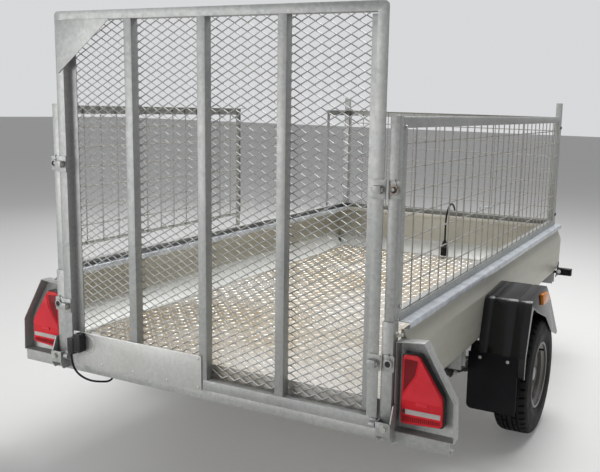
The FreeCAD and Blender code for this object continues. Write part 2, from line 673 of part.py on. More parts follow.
# Mudguards: outline in YZ from the lower rear edge over the crown to the front tip
guard_t, guard_bend = 3.0, 30.0
guard_line = [(axle_y - 355, 340.0), (axle_y - 355, 412.0), (axle_y - 293, 610.0),
              (axle_y - 55, 624.0), (axle_y + 31, 559.0), (axle_y + 232, 362.0)]
guard_in = guard_x0 + fit_gap
guard_foot = 646.0        # inner edge of the rear part below the wall
groove_w, groove_t = 6.0, 1.5


def guard_sheet(line, t, x0, x1, bend):
    """Bent sheet below a line: bend is the outer radius of its inner corners."""
    n = len(line)
    outer = [bend if 0 < i < n - 1 else 0.0 for i in range(n)]
    radii = outer + [max(r - t, 0.0) for r in outer[::-1]]
    return smooth([(p[0], p[1], r) for p, r in zip(folded(line, -t), radii)], "x", x0, x1)


above = folded(guard_line, 1.0)[len(guard_line):][::-1]
guard = fuse([guard_sheet(guard_line, guard_t, guard_in, guard_x1, guard_bend),
              guard_sheet(guard_line, guard_t, guard_foot, guard_in, guard_bend).common(
                  box(guard_foot, guard_in, axle_y - 400, axle_y - 250, 300.0,
                      wall_z0 - channel_t))])
for x in (708.0, 796.0):
    guard = guard.cut(guard_sheet(above[:5], 1.0 + groove_t, x - groove_w / 2,
                                  x + groove_w / 2, guard_bend + 1))
# side plate outside the tyre: narrow at the rear, wide in front
side_in = [(axle_y + 210, 357.0, 0), (axle_y + 100, 397.0, 60), (axle_y - 30, 490.0, 60),
           (axle_y - 197, 549.0, 60), (axle_y - 268, 580.0, 20), (axle_y - 338, 410.0, 20),
           (axle_y - 343, 333.0, 0)]
side_out = [(axle_y - 355, 333.0, 0)] + [(p[0], p[1], guard_bend) for p in guard_line[1:-1]]
side_out.append((guard_line[-1][0], guard_line[-1][1], 0))
side = smooth(side_out + side_in, "x", guard_x1 - guard_t, guard_x1)
put("mudguards", pair(fuse([guard, side])))
flap_y = axle_y - 355
flap_t = 4.0
flap = smooth([(640.0, 192.0, 20), (826.0, 192.0, 20), (826.0, 412.0, 0), (640.0, 412.0, 0)],
              "y", flap_y - flap_t, flap_y)
put("mud_flaps", pair(flap))
marker_line = [(axle_y - 171, 615.0, 8), (axle_y - 147, 566.0, 8), (axle_y - 22, 566.0, 6),
               (axle_y - 78, 606.0, 10)]
put("side_markers", pair(smooth(marker_line, "x", guard_x1, guard_x1 + 12)))

# Front marker lamps on stalks under the front corners
mark_y = cross_rows[-1] + 7.0
under_tip = wall_z0 - channel_t
stalk = box(tip_x - 30, 740.0, mark_y, mark_y + 25, under_tip - 3, under_tip)
lamp_body = box(662.0, 752.0, mark_y - 5, mark_y + 32, under_tip - 43, under_tip - 3)
put("front_markers", pair(fuse([stalk, lamp_body])))

# Drawbar: two tubes from under the floor to the coupling
draw_w, draw_h, draw_t = 40.0, 60.0, 3.0
draw_rear, draw_front = (430.0, 1560.0), (26.0, 3190.0)


def slanted(width, z0, z1):
    """Bar with a vertical slab section along the drawbar's centre line."""
    dx, dy = draw_front[0] - draw_rear[0], draw_front[1] - draw_rear[1]
    run = math.hypot(dx, dy)
    nx, ny = dy / run * width / 2, -dx / run * width / 2
    ring = [(draw_rear[0] + nx, draw_rear[1] + ny), (draw_front[0] + nx, draw_front[1] + ny),
            (draw_front[0] - nx, draw_front[1] - ny), (draw_rear[0] - nx, draw_rear[1] - ny)]
    return prism(ring, "z", z0, z1)


arm = slanted(draw_w, bar_z1 - draw_h, bar_z1).cut(
    slanted(draw_w - 2 * draw_t, bar_z1 - draw_h + draw_t, bar_z1 - draw_t))
right_side = box(0.0, 900.0, 0.0, 3400.0, 0.0, 900.0)
arm = arm.common(right_side)
put("drawbar", fuse([arm, mirrored(arm)]))

# Coupling head: shank on the drawbar, round head with a blind socket, handle
socket_r, socket_z0, socket_z = 25.2, 378.0, 403.0
head_r, head_top = 37.0, 446.0
shank_y0 = 3060.0
shank = box(-35.0, 35.0, shank_y0, draw_front[1], bar_z1, bar_z1 + 34)
neck = box(-25.0, 25.0, draw_front[1] - 30, ball_y, bar_z1, bar_z1 + 30)
head = cyl_z(head_r, socket_z0, head_top, 0.0, ball_y)
ball = fuse([cyl_z(socket_r, socket_z0, socket_z, 0.0, ball_y),
             Part.makeSphere(socket_r, V(0, ball_y, socket_z))])
lever = prism([(ball_y - 20, head_top - 6), (ball_y + 22, head_top - 6), (ball_y + 10, head_top + 12),
               (ball_y - 40, head_top + 20), (ball_y - 165, head_top + 46),
               (ball_y - 168, head_top + 34), (ball_y - 60, head_top + 8)], "x", -14.0, 14.0)
put("coupling_head", fuse([shank, neck, head]).cut(ball))
put("coupling_lever", lever.cut(fuse([shank, neck, head])))

# Jockey leg between the drawbar's arms
jock_y = 2930.0
jock_r, inner_r = 24.0, 19.0
jock_z0, jock_z1 = 335.0, 640.0
jock_wheel_r, jock_w = 100.0, 50.0
plate_j = box(-115.0, 115.0, jock_y - 40, jock_y + 40, bar_z1, bar_z1 + 6)
clamp = cyl_z(jock_r + 10, bar_z1 + 6, bar_z1 + 60, 0.0, jock_y)
wing = box(jock_r, jock_r + 46, jock_y - 5, jock_y + 5, bar_z1 + 26, bar_z1 + 40)
clamp_hole = cyl_z(jock_r, 0.0, 900.0, 0.0, jock_y)
put("jockey_clamp", fuse([plate_j, clamp, wing]).cut(clamp_hole))
outer_tube = cyl_z(jock_r - 0.1, jock_z0, jock_z1, 0.0, jock_y).cut(
    cyl_z(inner_r + fit_gap, jock_z0, jock_z1 - 4, 0.0, jock_y))
crank = fuse([cyl_z(7.0, jock_z1, jock_z1 + 26, 0.0, jock_y),
              box(-8.0, 110.0, jock_y - 8, jock_y + 8, jock_z1 + 18, jock_z1 + 26),
              cyl_z(8.0, jock_z1 + 26, jock_z1 + 86, 100.0, jock_y)])
put("jockey_tube", outer_tube)
put("jockey_crank", crank)
leg_z0 = 228.0
slide_up = 85.0
stem_r, stem_h = 11.0, 60.0
put("jockey_inner", cyl_z(inner_r, leg_z0, jock_z1 - 4 - slide_up - 6, 0.0, jock_y).cut(
    cyl_z(stem_r + fit_gap, leg_z0, leg_z0 + stem_h + 3, 0.0, jock_y)))
trail = 42.0
fork_x, fork_t = jock_w / 2 + 6, 5.0
jw_y, jw_z = jock_y - trail, jock_wheel_r
fork_top = box(-fork_x - fork_t, fork_x + fork_t, jw_y - 22, jock_y + 22, leg_z0 - 7, leg_z0 - 1)
cheek = prism([(jw_y - 16, jw_z - 14), (jw_y + 16, jw_z - 14), (jock_y + 22, leg_z0 - 7),
               (jw_y - 22, leg_z0 - 7)], "x", fork_x, fork_x + fork_t)
jaxle = cyl_x(8.0, -fork_x - fork_t, fork_x + fork_t, jw_y, jw_z)
stem = cyl_z(stem_r, leg_z0 - 7, leg_z0 + stem_h, 0.0, jock_y)
put("jockey_fork", fuse([fork_top, cheek, mirrored(cheek), jaxle, stem]))
jtyre = cyl_x(jock_wheel_r, -jock_w / 2, jock_w / 2, jw_y, jw_z).cut(
    cyl_x(62.0, -jock_w / 2, jock_w / 2, jw_y, jw_z))
jhub = cyl_x(61.8, -20.0, 20.0, jw_y, jw_z)
jhub = fuse([jhub, cyl_x(20.0, -jock_w / 2 - 2, jock_w / 2 + 2, jw_y, jw_z)]).cut(
    cyl_x(8.0 + fit_gap, -jock_w / 2 - 2, jock_w / 2 + 2, jw_y, jw_z))
put("jockey_tyre", jtyre)
put("jockey_hub", jhub)

# Cables: routes of straight runs joined by tangent arcs


def cord(points, dia, name):
    """Round cable along points; prints each arc's radius."""
    pts = [V(*p) for p in points]
    edges, radii = [], []
    start = pts[0]
    for i in range(1, len(pts) - 1):
        a, b = pts[i] - pts[i - 1], pts[i + 1] - pts[i]
        turn = a.getAngle(b)
        if turn < 0.02:
            continue
        short = min(a.Length, b.Length)
        radius = 0.45 * short / math.tan(turn / 2)
        ua, ub = a.normalize(), b.normalize()
        cut = 0.45 * short
        p0, p1 = pts[i] - ua * cut, pts[i] + ub * cut
        mid_dir = (ub - ua).normalize()
        centre = pts[i] + mid_dir * (radius / math.cos(turn / 2))
        edges.append(Part.makeLine(start, p0))
        edges.append(Part.Arc(p0, centre - mid_dir * radius, p1).toShape())
        start = p1
        radii.append(round(radius, 1))
    edges.append(Part.makeLine(start, pts[-1]))
    print(name, "arc radii mm", radii)
    path = Part.Wire(edges)
    way = (pts[1] - pts[0]).normalize()
    ring = Part.Wire(Part.makeCircle(dia / 2, pts[0], way))
    return path.makePipeShell([ring], True, True)


lamp_cable_d, main_cable_d = 7.0, 10.0
lamp_route = [(-556.0, -18.0, lamp_z0), (-556.0, -18.0, 385.0), (-536.0, -17.0, 352.0),
              (-500.0, -12.0, 334.0), (-462.0, -4.0, 328.0), (*cable_hole, 326.0),
              (*cable_hole, bar_z1 - channel_t)]
put("lamp_cable", cord(lamp_route, lamp_cable_d, "lamp_cable"))
cx = 52.0
main_route = [(cx, 2168.0, floor_under - channel_t), (cx, 2165.0, 403.0), (cx, 2164.0, 346.0),
              (cx, 2197.5, 312.5), (cx, 2244.5, 312.5), (cx, 2278.0, 346.0),
              (cx, 2281.0, 411.0), (cx, 2279.0, 478.0), (cx, 2281.0, 548.0),
              (cx, 2277.0, 620.0), (cx, 2272.0, 685.0), (cx, 2245.0, 740.0),
              (cx, 2192.0, 765.0), (cx, 2138.0, 742.0), (cx, 2110.0, 690.0),
              (cx, 2106.0, 628.0), (cx, 2106.0, 566.0)]
plug_z0, plug_z1 = 474.0, 566.0
put("main_cable", cord(main_route, main_cable_d, "main_cable"))
put("plug", fuse([cyl_z(22.0, plug_z0, plug_z0 + 44, cx, 2106.0),
                  cyl_z(14.0, plug_z0 + 44, plug_z1, cx, 2106.0)]))

# Move along Y so that the whole box is centred, then write one file per node
front_y = ball_y + head_r
rear_y = -lamp_d
shift = V(0, -(front_y + rear_y) / 2, 0)
for name, shapes in parts.items():
    whole = Part.makeCompound([q.copy() for q in shapes])
    whole.translate(shift)
    if len(whole.Solids) == 1:
        whole = whole.Solids[0]
    bad = [q for q in whole.Solids if not q.isValid() or q.Volume <= 0]
    print(name, len(whole.Solids), "solids", round(whole.Volume / 1e6, 3), "litres",
          "" if not bad else "BAD")
    whole.exportStep("parts/" + name + ".step")
total = Part.makeCompound([q for v in parts.values() for q in v])
total.translate(shift)
b = total.BoundBox
print("box", [round(v, 1) for v in (b.XMin, b.XMax, b.YMin, b.YMax, b.ZMin, b.ZMax)])
print("shift", round(shift.y, 2), "litres", round(total.Volume / 1e6, 2))
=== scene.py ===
"""Utility trailer with mesh sides and a ramp tailgate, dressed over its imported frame."""

import json
import logging
import math
from dataclasses import dataclass
from enum import Enum

import bmesh
import bpy
from mathutils import Matrix, Vector

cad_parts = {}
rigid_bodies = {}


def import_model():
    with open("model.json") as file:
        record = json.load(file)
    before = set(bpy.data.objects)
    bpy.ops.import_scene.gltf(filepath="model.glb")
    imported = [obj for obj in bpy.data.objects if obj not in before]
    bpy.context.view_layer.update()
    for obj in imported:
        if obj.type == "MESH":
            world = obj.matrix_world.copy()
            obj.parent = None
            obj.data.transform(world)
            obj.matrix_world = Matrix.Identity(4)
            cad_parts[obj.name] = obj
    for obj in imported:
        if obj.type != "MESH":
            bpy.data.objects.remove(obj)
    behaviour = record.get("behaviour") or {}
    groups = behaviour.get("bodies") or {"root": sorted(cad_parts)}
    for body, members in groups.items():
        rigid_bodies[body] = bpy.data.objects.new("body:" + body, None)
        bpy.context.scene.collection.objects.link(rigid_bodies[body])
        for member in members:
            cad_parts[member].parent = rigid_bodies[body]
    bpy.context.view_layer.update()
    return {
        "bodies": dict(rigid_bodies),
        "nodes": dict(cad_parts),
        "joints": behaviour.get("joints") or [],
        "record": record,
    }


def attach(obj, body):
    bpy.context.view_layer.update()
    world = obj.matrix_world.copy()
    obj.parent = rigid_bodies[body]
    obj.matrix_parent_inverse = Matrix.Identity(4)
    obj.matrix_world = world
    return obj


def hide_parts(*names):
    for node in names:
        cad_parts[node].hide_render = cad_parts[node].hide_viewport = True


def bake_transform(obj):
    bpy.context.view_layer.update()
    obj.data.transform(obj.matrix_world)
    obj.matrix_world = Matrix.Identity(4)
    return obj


LOG = logging.getLogger("trailer")
MM = 0.001
# distance from the construction frame's rear face to the middle of the part
SHIFT_Y = -1.6465


class Body(Enum):
    """The moving bodies that pieces ride on."""

    CHASSIS = "chassis"
    GATE = "tailgate"
    WHEEL_RIGHT = "wheel_right"
    WHEEL_LEFT = "wheel_left"
    JOCKEY_LEG = "jockey_leg"
    JOCKEY_FORK = "jockey_fork"
    JOCKEY_WHEEL = "jockey_wheel"


class Side(Enum):
    """The trailer's two sides, as the sign of X."""

    RIGHT = 1
    LEFT = -1


def at(x: float, y: float, z: float) -> Vector:
    """Turns millimetres in the construction frame into metres in the row frame.

    Args:
        x: Distance to the right of the middle.
        y: Distance forward of the closed gate's rear face.
        z: Height above the ground.

    Returns:
        The point in metres.
    """
    return Vector((x * MM, y * MM + SHIFT_Y, z * MM))


# Shader graphs and finishes


class Graph:
    """A material's shader graph, with short ways to add what the finishes share."""

    def __init__(self, name: str) -> None:
        """Starts an empty principled material called name."""
        self.material = bpy.data.materials.new(name)
        self.material.use_nodes = True
        self.tree = self.material.node_tree
        self.shader = self.tree.nodes["Principled BSDF"]
        self.place = self.add("ShaderNodeTexCoord").outputs["Object"]

    def add(self, kind: str, **settings: object) -> bpy.types.Node:
        """Adds one node.

        Args:
            kind: The node's class name.
            settings: Plain attributes to set on it.

        Returns:
            The new node.
        """
        node = self.tree.nodes.new(kind)
        for key, value in settings.items():
            setattr(node, key, value)
        return node

    def wire(self, source: bpy.types.NodeSocket, target: bpy.types.NodeSocket) -> None:
        """Links two sockets."""
        self.tree.links.new(source, target)

    def stretched(self, scale: tuple[float, float, float]) -> bpy.types.NodeSocket:
        """Object coordinates multiplied per axis.

        Args:
            scale: Factor on X, Y and Z.

        Returns:
            The mapped vector.
        """
        mapping = self.add("ShaderNodeMapping")
        mapping.inputs["Scale"].default_value = scale
        self.wire(self.place, mapping.inputs["Vector"])
        return mapping.outputs["Vector"]

    def noise(self, scale: float, detail: float = 3.0, rough: float = 0.5,
              stretch: tuple[float, float, float] = (1.0, 1.0, 1.0)) -> bpy.types.NodeSocket:
        """Adds fractal noise.

        Args:
            scale: Waves per metre.
            detail: Octaves.
            rough: Weight of the small octaves.
            stretch: Extra factor per axis.

        Returns:
            A value socket from 0 to 1.
        """
        node = self.add("ShaderNodeTexNoise")
        node.inputs["Scale"].default_value = scale
        node.inputs["Detail"].default_value = detail
        node.inputs["Roughness"].default_value = rough
        self.wire(self.stretched(stretch), node.inputs["Vector"])
        return node.outputs["Fac"]

    def cells(self, scale: float, output: str = "Color") -> bpy.types.NodeSocket:
        """Adds random cells, as on a galvanised surface.

        Args:
            scale: Cells per metre.
            output: Name of the output to give back.

        Returns:
            The chosen output.
        """
        node = self.add("ShaderNodeTexVoronoi", feature="F1")
        node.inputs["Scale"].default_value = scale
        warp = self.add("ShaderNodeVectorMath", operation="ADD")
        wobble = self.add("ShaderNodeTexNoise")
        wobble.inputs["Scale"].default_value = scale * 1.7
        self.wire(self.place, wobble.inputs["Vector"])
        small = self.add("ShaderNodeVectorMath", operation="SCALE")
        small.inputs["Scale"].default_value = 0.35 / scale
        self.wire(wobble.outputs["Color"], small.inputs[0])
        self.wire(self.place, warp.inputs[0])
        self.wire(small.outputs["Vector"], warp.inputs[1])
        self.wire(warp.outputs["Vector"], node.inputs["Vector"])
        return node.outputs[output]

    def spread(self, value: bpy.types.NodeSocket, low: float, high: float,
               from_low: float = 0.0, from_high: float = 1.0) -> bpy.types.NodeSocket:
        """Maps a value to another range.

        Args:
            value: The value socket.
            low: Result at from_low.
            high: Result at from_high.
            from_low: Start of the input's range.
            from_high: End of the input's range.

        Returns:
            The mapped value, clamped.
        """
        node = self.add("ShaderNodeMapRange")
        self.wire(value, node.inputs["Value"])
        for name, number in (("From Min", from_low), ("From Max", from_high),
                             ("To Min", low), ("To Max", high)):
            node.inputs[name].default_value = number
        return node.outputs["Result"]

    def blend(self, factor: bpy.types.NodeSocket, first: object, second: object,
              mode: str = "MIX") -> bpy.types.NodeSocket:
        """Mixes two colours.

        Args:
            factor: Value socket, 0 gives first.
            first: Colour tuple or socket.
            second: Colour tuple or socket.
            mode: Blend mode.

        Returns:
            The mixed colour.
        """
        node = self.add("ShaderNodeMix", data_type="RGBA", blend_type=mode)
        self.wire(factor, node.inputs["Factor"])
        for name, value in (("A", first), ("B", second)):
            socket = [s for s in node.inputs if s.name == name and s.type == "RGBA"][0]
            if isinstance(value, tuple):
                socket.default_value = (*value, 1.0)
            else:
                self.wire(value, socket)
        return [s for s in node.outputs if s.type == "RGBA"][0]

    def colour(self, value: object) -> None:
        """Sets the base colour from a tuple or a socket."""
        if isinstance(value, tuple):
            self.shader.inputs["Base Color"].default_value = (*value, 1.0)
        else:
            self.wire(value, self.shader.inputs["Base Color"])

    def set(self, **numbers: float) -> None:
        """Sets the shader's own number sockets, with underscores for spaces."""
        for key, number in numbers.items():
            self.shader.inputs[key.replace("_", " ")].default_value = number

    def rough(self, value: bpy.types.NodeSocket) -> None:
        """Drives the roughness from a socket."""
        self.wire(value, self.shader.inputs["Roughness"])

    def bump(self, height: bpy.types.NodeSocket, depth: float, strength: float = 1.0) -> None:
        """Adds a bump on top of any earlier one.

        Args:
            height: Value socket from 0 to 1.
            depth: Full depth in metres.
            strength: How much of it shows.
        """
        node = self.add("ShaderNodeBump")
        node.inputs["Distance"].default_value = depth
        node.inputs["Strength"].default_value = strength
        self.wire(height, node.inputs["Height"])
        target = self.shader.inputs["Normal"]
        if target.is_linked:
            self.wire(target.links[0].from_socket, node.inputs["Normal"])
        self.wire(node.outputs["Normal"], target)


@dataclass(frozen=True)
class Galvanised:
    """Dull hot-dip zinc: faint spangle, pale stains and a soft metallic sheen."""

    name: str = "galvanised"
    light: tuple[float, float, float] = (0.44, 0.45, 0.44)
    dark: tuple[float, float, float] = (0.30, 0.31, 0.30)
    metal: float = 0.55
    rough_low: float = 0.38
    rough_high: float = 0.60
    stain: float = 0.30

    def build(self) -> bpy.types.Material:
        """Returns the finished material."""
        g = Graph(self.name)
        spangle = g.spread(g.cells(110.0, "Color"), 0.25, 1.0)
        base = g.blend(spangle, self.dark, self.light)
        patch = g.spread(g.noise(6.0, 5.0, 0.6), 0.0, self.stain, 0.42, 0.72)
        base = g.blend(patch, base, (0.58, 0.58, 0.55))
        grime = g.spread(g.noise(2.3, 6.0, 0.65, (1.0, 1.0, 0.4)), 0.0, 0.32, 0.5, 0.75)
        g.colour(g.blend(grime, base, (0.33, 0.32, 0.29)))
        g.set(Metallic=self.metal)
        g.rough(g.spread(g.noise(45.0, 3.0), self.rough_low, self.rough_high))
        g.bump(g.noise(160.0, 2.0), 0.0004, 0.35)
        return g.material


@dataclass(frozen=True)
class Glint:
    """One plain tint with a faint cloud: hole shadows, reflectors and clear lenses."""

    name: str
    tint: tuple[float, float, float]
    cloud: tuple[float, float, float]
    gloss: float = 0.3
    metal: float = 0.0

    def build(self) -> bpy.types.Material:
        """Returns the finished material."""
        g = Graph(self.name)
        g.colour(g.blend(g.spread(g.noise(90.0, 4.0), 0.0, 1.0, 0.35, 0.7), self.tint,
                         self.cloud))
        g.set(Metallic=self.metal, Roughness=self.gloss)
        g.bump(g.noise(240.0, 2.0), 0.0002, 0.3)
        return g.material


@dataclass(frozen=True)
class CoatedSheet:
    """Pale coated sheet steel with a satin face and dusty streaks."""

    name: str = "wall_sheet"
    tint: tuple[float, float, float] = (0.52, 0.51, 0.44)
    dust: tuple[float, float, float] = (0.42, 0.40, 0.34)
    metal: float = 0.25

    def build(self) -> bpy.types.Material:
        """Returns the finished material."""
        g = Graph(self.name)
        streak = g.spread(g.noise(9.0, 5.0, 0.6, (1.0, 0.25, 2.5)), 0.0, 0.6, 0.4, 0.75)
        base = g.blend(streak, self.tint, self.dust)
        cloud = g.spread(g.noise(2.0, 3.0), 0.0, 0.25, 0.4, 0.7)
        g.colour(g.blend(cloud, base, (0.62, 0.62, 0.57)))
        g.set(Metallic=self.metal)
        g.rough(g.spread(g.noise(30.0, 3.0), 0.32, 0.52))
        g.bump(g.noise(120.0, 2.0), 0.0003, 0.25)
        return g.material


@dataclass(frozen=True)
class RollingZinc:
    """Bright zinc on the rolled rim and on small hardware; the rim's paler bluish copy adds a
    painted sheen.
    """

    name: str = "zinc_bright"
    light: tuple[float, float, float] = (0.66, 0.68, 0.70)
    dark: tuple[float, float, float] = (0.44, 0.45, 0.46)

    def build(self) -> bpy.types.Material:
        """Returns the finished material."""
        g = Graph(self.name)
        base = g.blend(g.spread(g.noise(22.0, 4.0), 0.0, 1.0, 0.3, 0.7), self.light, self.dark)
        g.colour(base)
        g.set(Metallic=0.4)
        g.rough(g.spread(g.noise(60.0, 3.0), 0.26, 0.46))
        g.bump(g.noise(200.0, 2.0), 0.0003, 0.2)
        return g.material


@dataclass(frozen=True)
class TreadPlate:
    """Dusty tread plate of the floor, warm between its raised bars."""

    name: str = "floor_sheet"
    dust: tuple[float, float, float] = (0.36, 0.29, 0.19)
    clean: tuple[float, float, float] = (0.60, 0.58, 0.55)

    def build(self) -> bpy.types.Material:
        """Returns the finished material."""
        g = Graph(self.name)
        worn = g.spread(g.noise(1.6, 6.0, 0.6), 0.0, 1.0, 0.40, 0.62)
        base = g.blend(worn, self.dust, self.clean)
        g.colour(g.blend(g.spread(g.noise(70.0, 3.0), 0.0, 0.35), base, (0.28, 0.23, 0.16)))
        g.set(Metallic=0.35)
        g.rough(g.spread(g.noise(30.0, 4.0), 0.35, 0.7))
        g.bump(g.noise(180.0, 3.0), 0.0004, 0.4)
        return g.material


@dataclass(frozen=True)
class TreadBar:
    """Polished tops of the tread plate's bars."""

    name: str = "tread_bar"

    def build(self) -> bpy.types.Material:
        """Returns the finished material."""
        g = Graph(self.name)
        worn = g.spread(g.noise(8.0, 4.0), 0.0, 1.0, 0.35, 0.65)
        g.colour(g.blend(worn, (0.92, 0.91, 0.87), (0.74, 0.69, 0.58)))
        g.set(Metallic=0.4)
        g.rough(g.spread(g.noise(90.0, 2.0), 0.25, 0.45))
        return g.material


@dataclass(frozen=True)
class RustySteel:
    """Zinc worn through to orange rust on the latches."""

    name: str = "rusty_steel"

    def build(self) -> bpy.types.Material:
        """Returns the finished material."""
        g = Graph(self.name)
        rust = g.spread(g.noise(70.0, 6.0, 0.7), 0.0, 1.0, 0.4, 0.62)
        base = g.blend(rust, (0.52, 0.50, 0.46), (0.34, 0.19, 0.08))
        g.colour(g.blend(g.spread(g.noise(260.0, 3.0), 0.0, 0.5), base, (0.20, 0.12, 0.07)))
        g.set(Metallic=0.35)
        g.rough(g.spread(rust, 0.42, 0.85))
        g.bump(g.noise(300.0, 4.0), 0.0005, 0.6)
        return g.material


@dataclass(frozen=True)
class Moulded:
    """Moulded plastic or rubber: one tint, fine grain and a little dust."""

    name: str
    tint: tuple[float, float, float]
    dust: tuple[float, float, float]
    gloss: tuple[float, float] = (0.30, 0.48)
    dusty: float = 0.25
    grain: float = 420.0
    depth: float = 0.00015
    shine: float = 0.16

    def build(self) -> bpy.types.Material:
        """Returns the finished material."""
        g = Graph(self.name)
        layer = g.spread(g.noise(7.0, 6.0, 0.65), 0.0, self.dusty, 0.42, 0.72)
        g.colour(g.blend(layer, self.tint, self.dust))
        g.rough(g.spread(g.noise(26.0, 4.0), *self.gloss))
        g.set(Specular_IOR_Level=self.shine)
        g.bump(g.noise(self.grain, 2.0), self.depth, 0.5)
        return g.material


@dataclass(frozen=True)
class Painted:
    """Satin paint with small chips."""

    name: str
    tint: tuple[float, float, float]
    under: tuple[float, float, float]
    metal: float = 0.3
    gloss: tuple[float, float] = (0.3, 0.5)

    def build(self) -> bpy.types.Material:
        """Returns the finished material."""
        g = Graph(self.name)
        chips = g.spread(g.noise(60.0, 6.0, 0.7), 0.0, 0.8, 0.62, 0.75)
        base = g.blend(chips, self.tint, self.under)
        g.colour(g.blend(g.spread(g.noise(5.0, 4.0), 0.0, 0.25, 0.4, 0.7), base, self.under))
        g.set(Metallic=self.metal)
        g.rough(g.spread(g.noise(40.0, 3.0), *self.gloss))
        g.bump(g.noise(150.0, 2.0), 0.0002, 0.3)
        return g.material


@dataclass(frozen=True)
class Lens:
    """Clear coloured plastic over fine ribs."""

    name: str
    tint: tuple[float, float, float]
    deep: tuple[float, float, float]
    rib: float = 130.0

    def build(self) -> bpy.types.Material:
        """Returns the finished material."""
        g = Graph(self.name)
        wave = g.add("ShaderNodeTexWave", wave_type="BANDS", bands_direction="X")
        wave.inputs["Scale"].default_value = self.rib
        g.wire(g.place, wave.inputs["Vector"])
        ribs = g.spread(wave.outputs["Fac"], 0.0, 0.55)
        cloud = g.spread(g.noise(25.0, 3.0), 0.0, 0.5, 0.4, 0.7)
        base = g.blend(ribs, self.tint, self.deep)
        g.colour(g.blend(cloud, base, self.deep))
        g.set(Roughness=0.22, Coat_Weight=0.12, Coat_Roughness=0.08, Specular_IOR_Level=0.22)
        g.bump(wave.outputs["Fac"], 0.0006, 0.5)
        return g.material


class Palette:
    """All finishes, built once, and which one each material slot takes."""

    def __init__(self) -> None:
        """Builds every material."""
        finishes = [
            Galvanised(),
            Galvanised("gate_zinc", (0.42, 0.43, 0.42), (0.29, 0.30, 0.30), 0.5),
            Galvanised("mesh_wire", (0.46, 0.45, 0.42), (0.30, 0.29, 0.27), 0.5, stain=0.2),
            Galvanised("gate_mesh", (0.47, 0.48, 0.47), (0.28, 0.29, 0.29), 0.45),
            Galvanised("plate_sheet", (0.62, 0.62, 0.60), (0.50, 0.50, 0.49), 0.5, 0.3, 0.5),
            CoatedSheet(),
            CoatedSheet("kick_sheet", (0.74, 0.75, 0.73), (0.60, 0.60, 0.56), 0.1),
            # the front board is the same wall sheet, made paler here as painted light on its lit
            # inner face
            CoatedSheet("wall_sheet_painted_lit", (0.70, 0.68, 0.60), (0.58, 0.56, 0.49), 0.12),
            RollingZinc(),
            # the rolled rim's copy is paler and bluer than the hardware's zinc: painted sheen of
            # the light along the rim
            RollingZinc("rim_zinc", (0.74, 0.78, 0.83), (0.50, 0.53, 0.57)),
            RollingZinc("bolt_zinc", (0.66, 0.66, 0.63), (0.40, 0.39, 0.35)),
            TreadPlate(),
            TreadBar(),
            RustySteel(),
            Moulded("black_plastic", (0.006, 0.006, 0.007), (0.07, 0.066, 0.058), (0.16, 0.30),
                    0.10, shine=0.42),
            Moulded("plug_plastic", (0.012, 0.012, 0.013), (0.07, 0.07, 0.07)),
            Moulded("flap_rubber", (0.005, 0.005, 0.007), (0.04, 0.04, 0.04), (0.34, 0.5), 0.12),
            Moulded("cable_rubber", (0.012, 0.012, 0.013), (0.06, 0.06, 0.06), (0.4, 0.6)),
            Moulded("jockey_rubber", (0.03, 0.03, 0.03), (0.16, 0.15, 0.14), (0.55, 0.8)),
            Moulded("tyre", (0.009, 0.009, 0.009), (0.045, 0.042, 0.036), (0.5, 0.8), 0.4, 300.0),
            Painted("rim_paint", (0.17, 0.165, 0.155), (0.07, 0.066, 0.062), 0.5),
            Painted("black_steel", (0.022, 0.022, 0.023), (0.10, 0.085, 0.07), 0.1),
            Lens("lamp_lens", (0.84, 0.020, 0.034), (0.56, 0.008, 0.018)),
            Lens("lens_reflector", (0.95, 0.044, 0.066), (0.74, 0.022, 0.036), 420.0),
            Lens("lens_dark", (0.30, 0.006, 0.012), (0.14, 0.002, 0.005), 300.0),
            Lens("lens_white", (0.66, 0.62, 0.60), (0.40, 0.36, 0.35), 90.0),
            Lens("amber_lens", (0.80, 0.27, 0.03), (0.52, 0.13, 0.01), 160.0),
            Glint("hole_shadow", (0.004, 0.004, 0.005), (0.02, 0.02, 0.02), 0.6),
            Glint("clear_lens", (0.86, 0.86, 0.84), (0.70, 0.70, 0.70), 0.12),
        ]
        self.made = {finish.name: finish.build() for finish in finishes}

    def __getitem__(self, name: str) -> bpy.types.Material:
        """The material called name."""
        return self.made[name]


# Mesh building


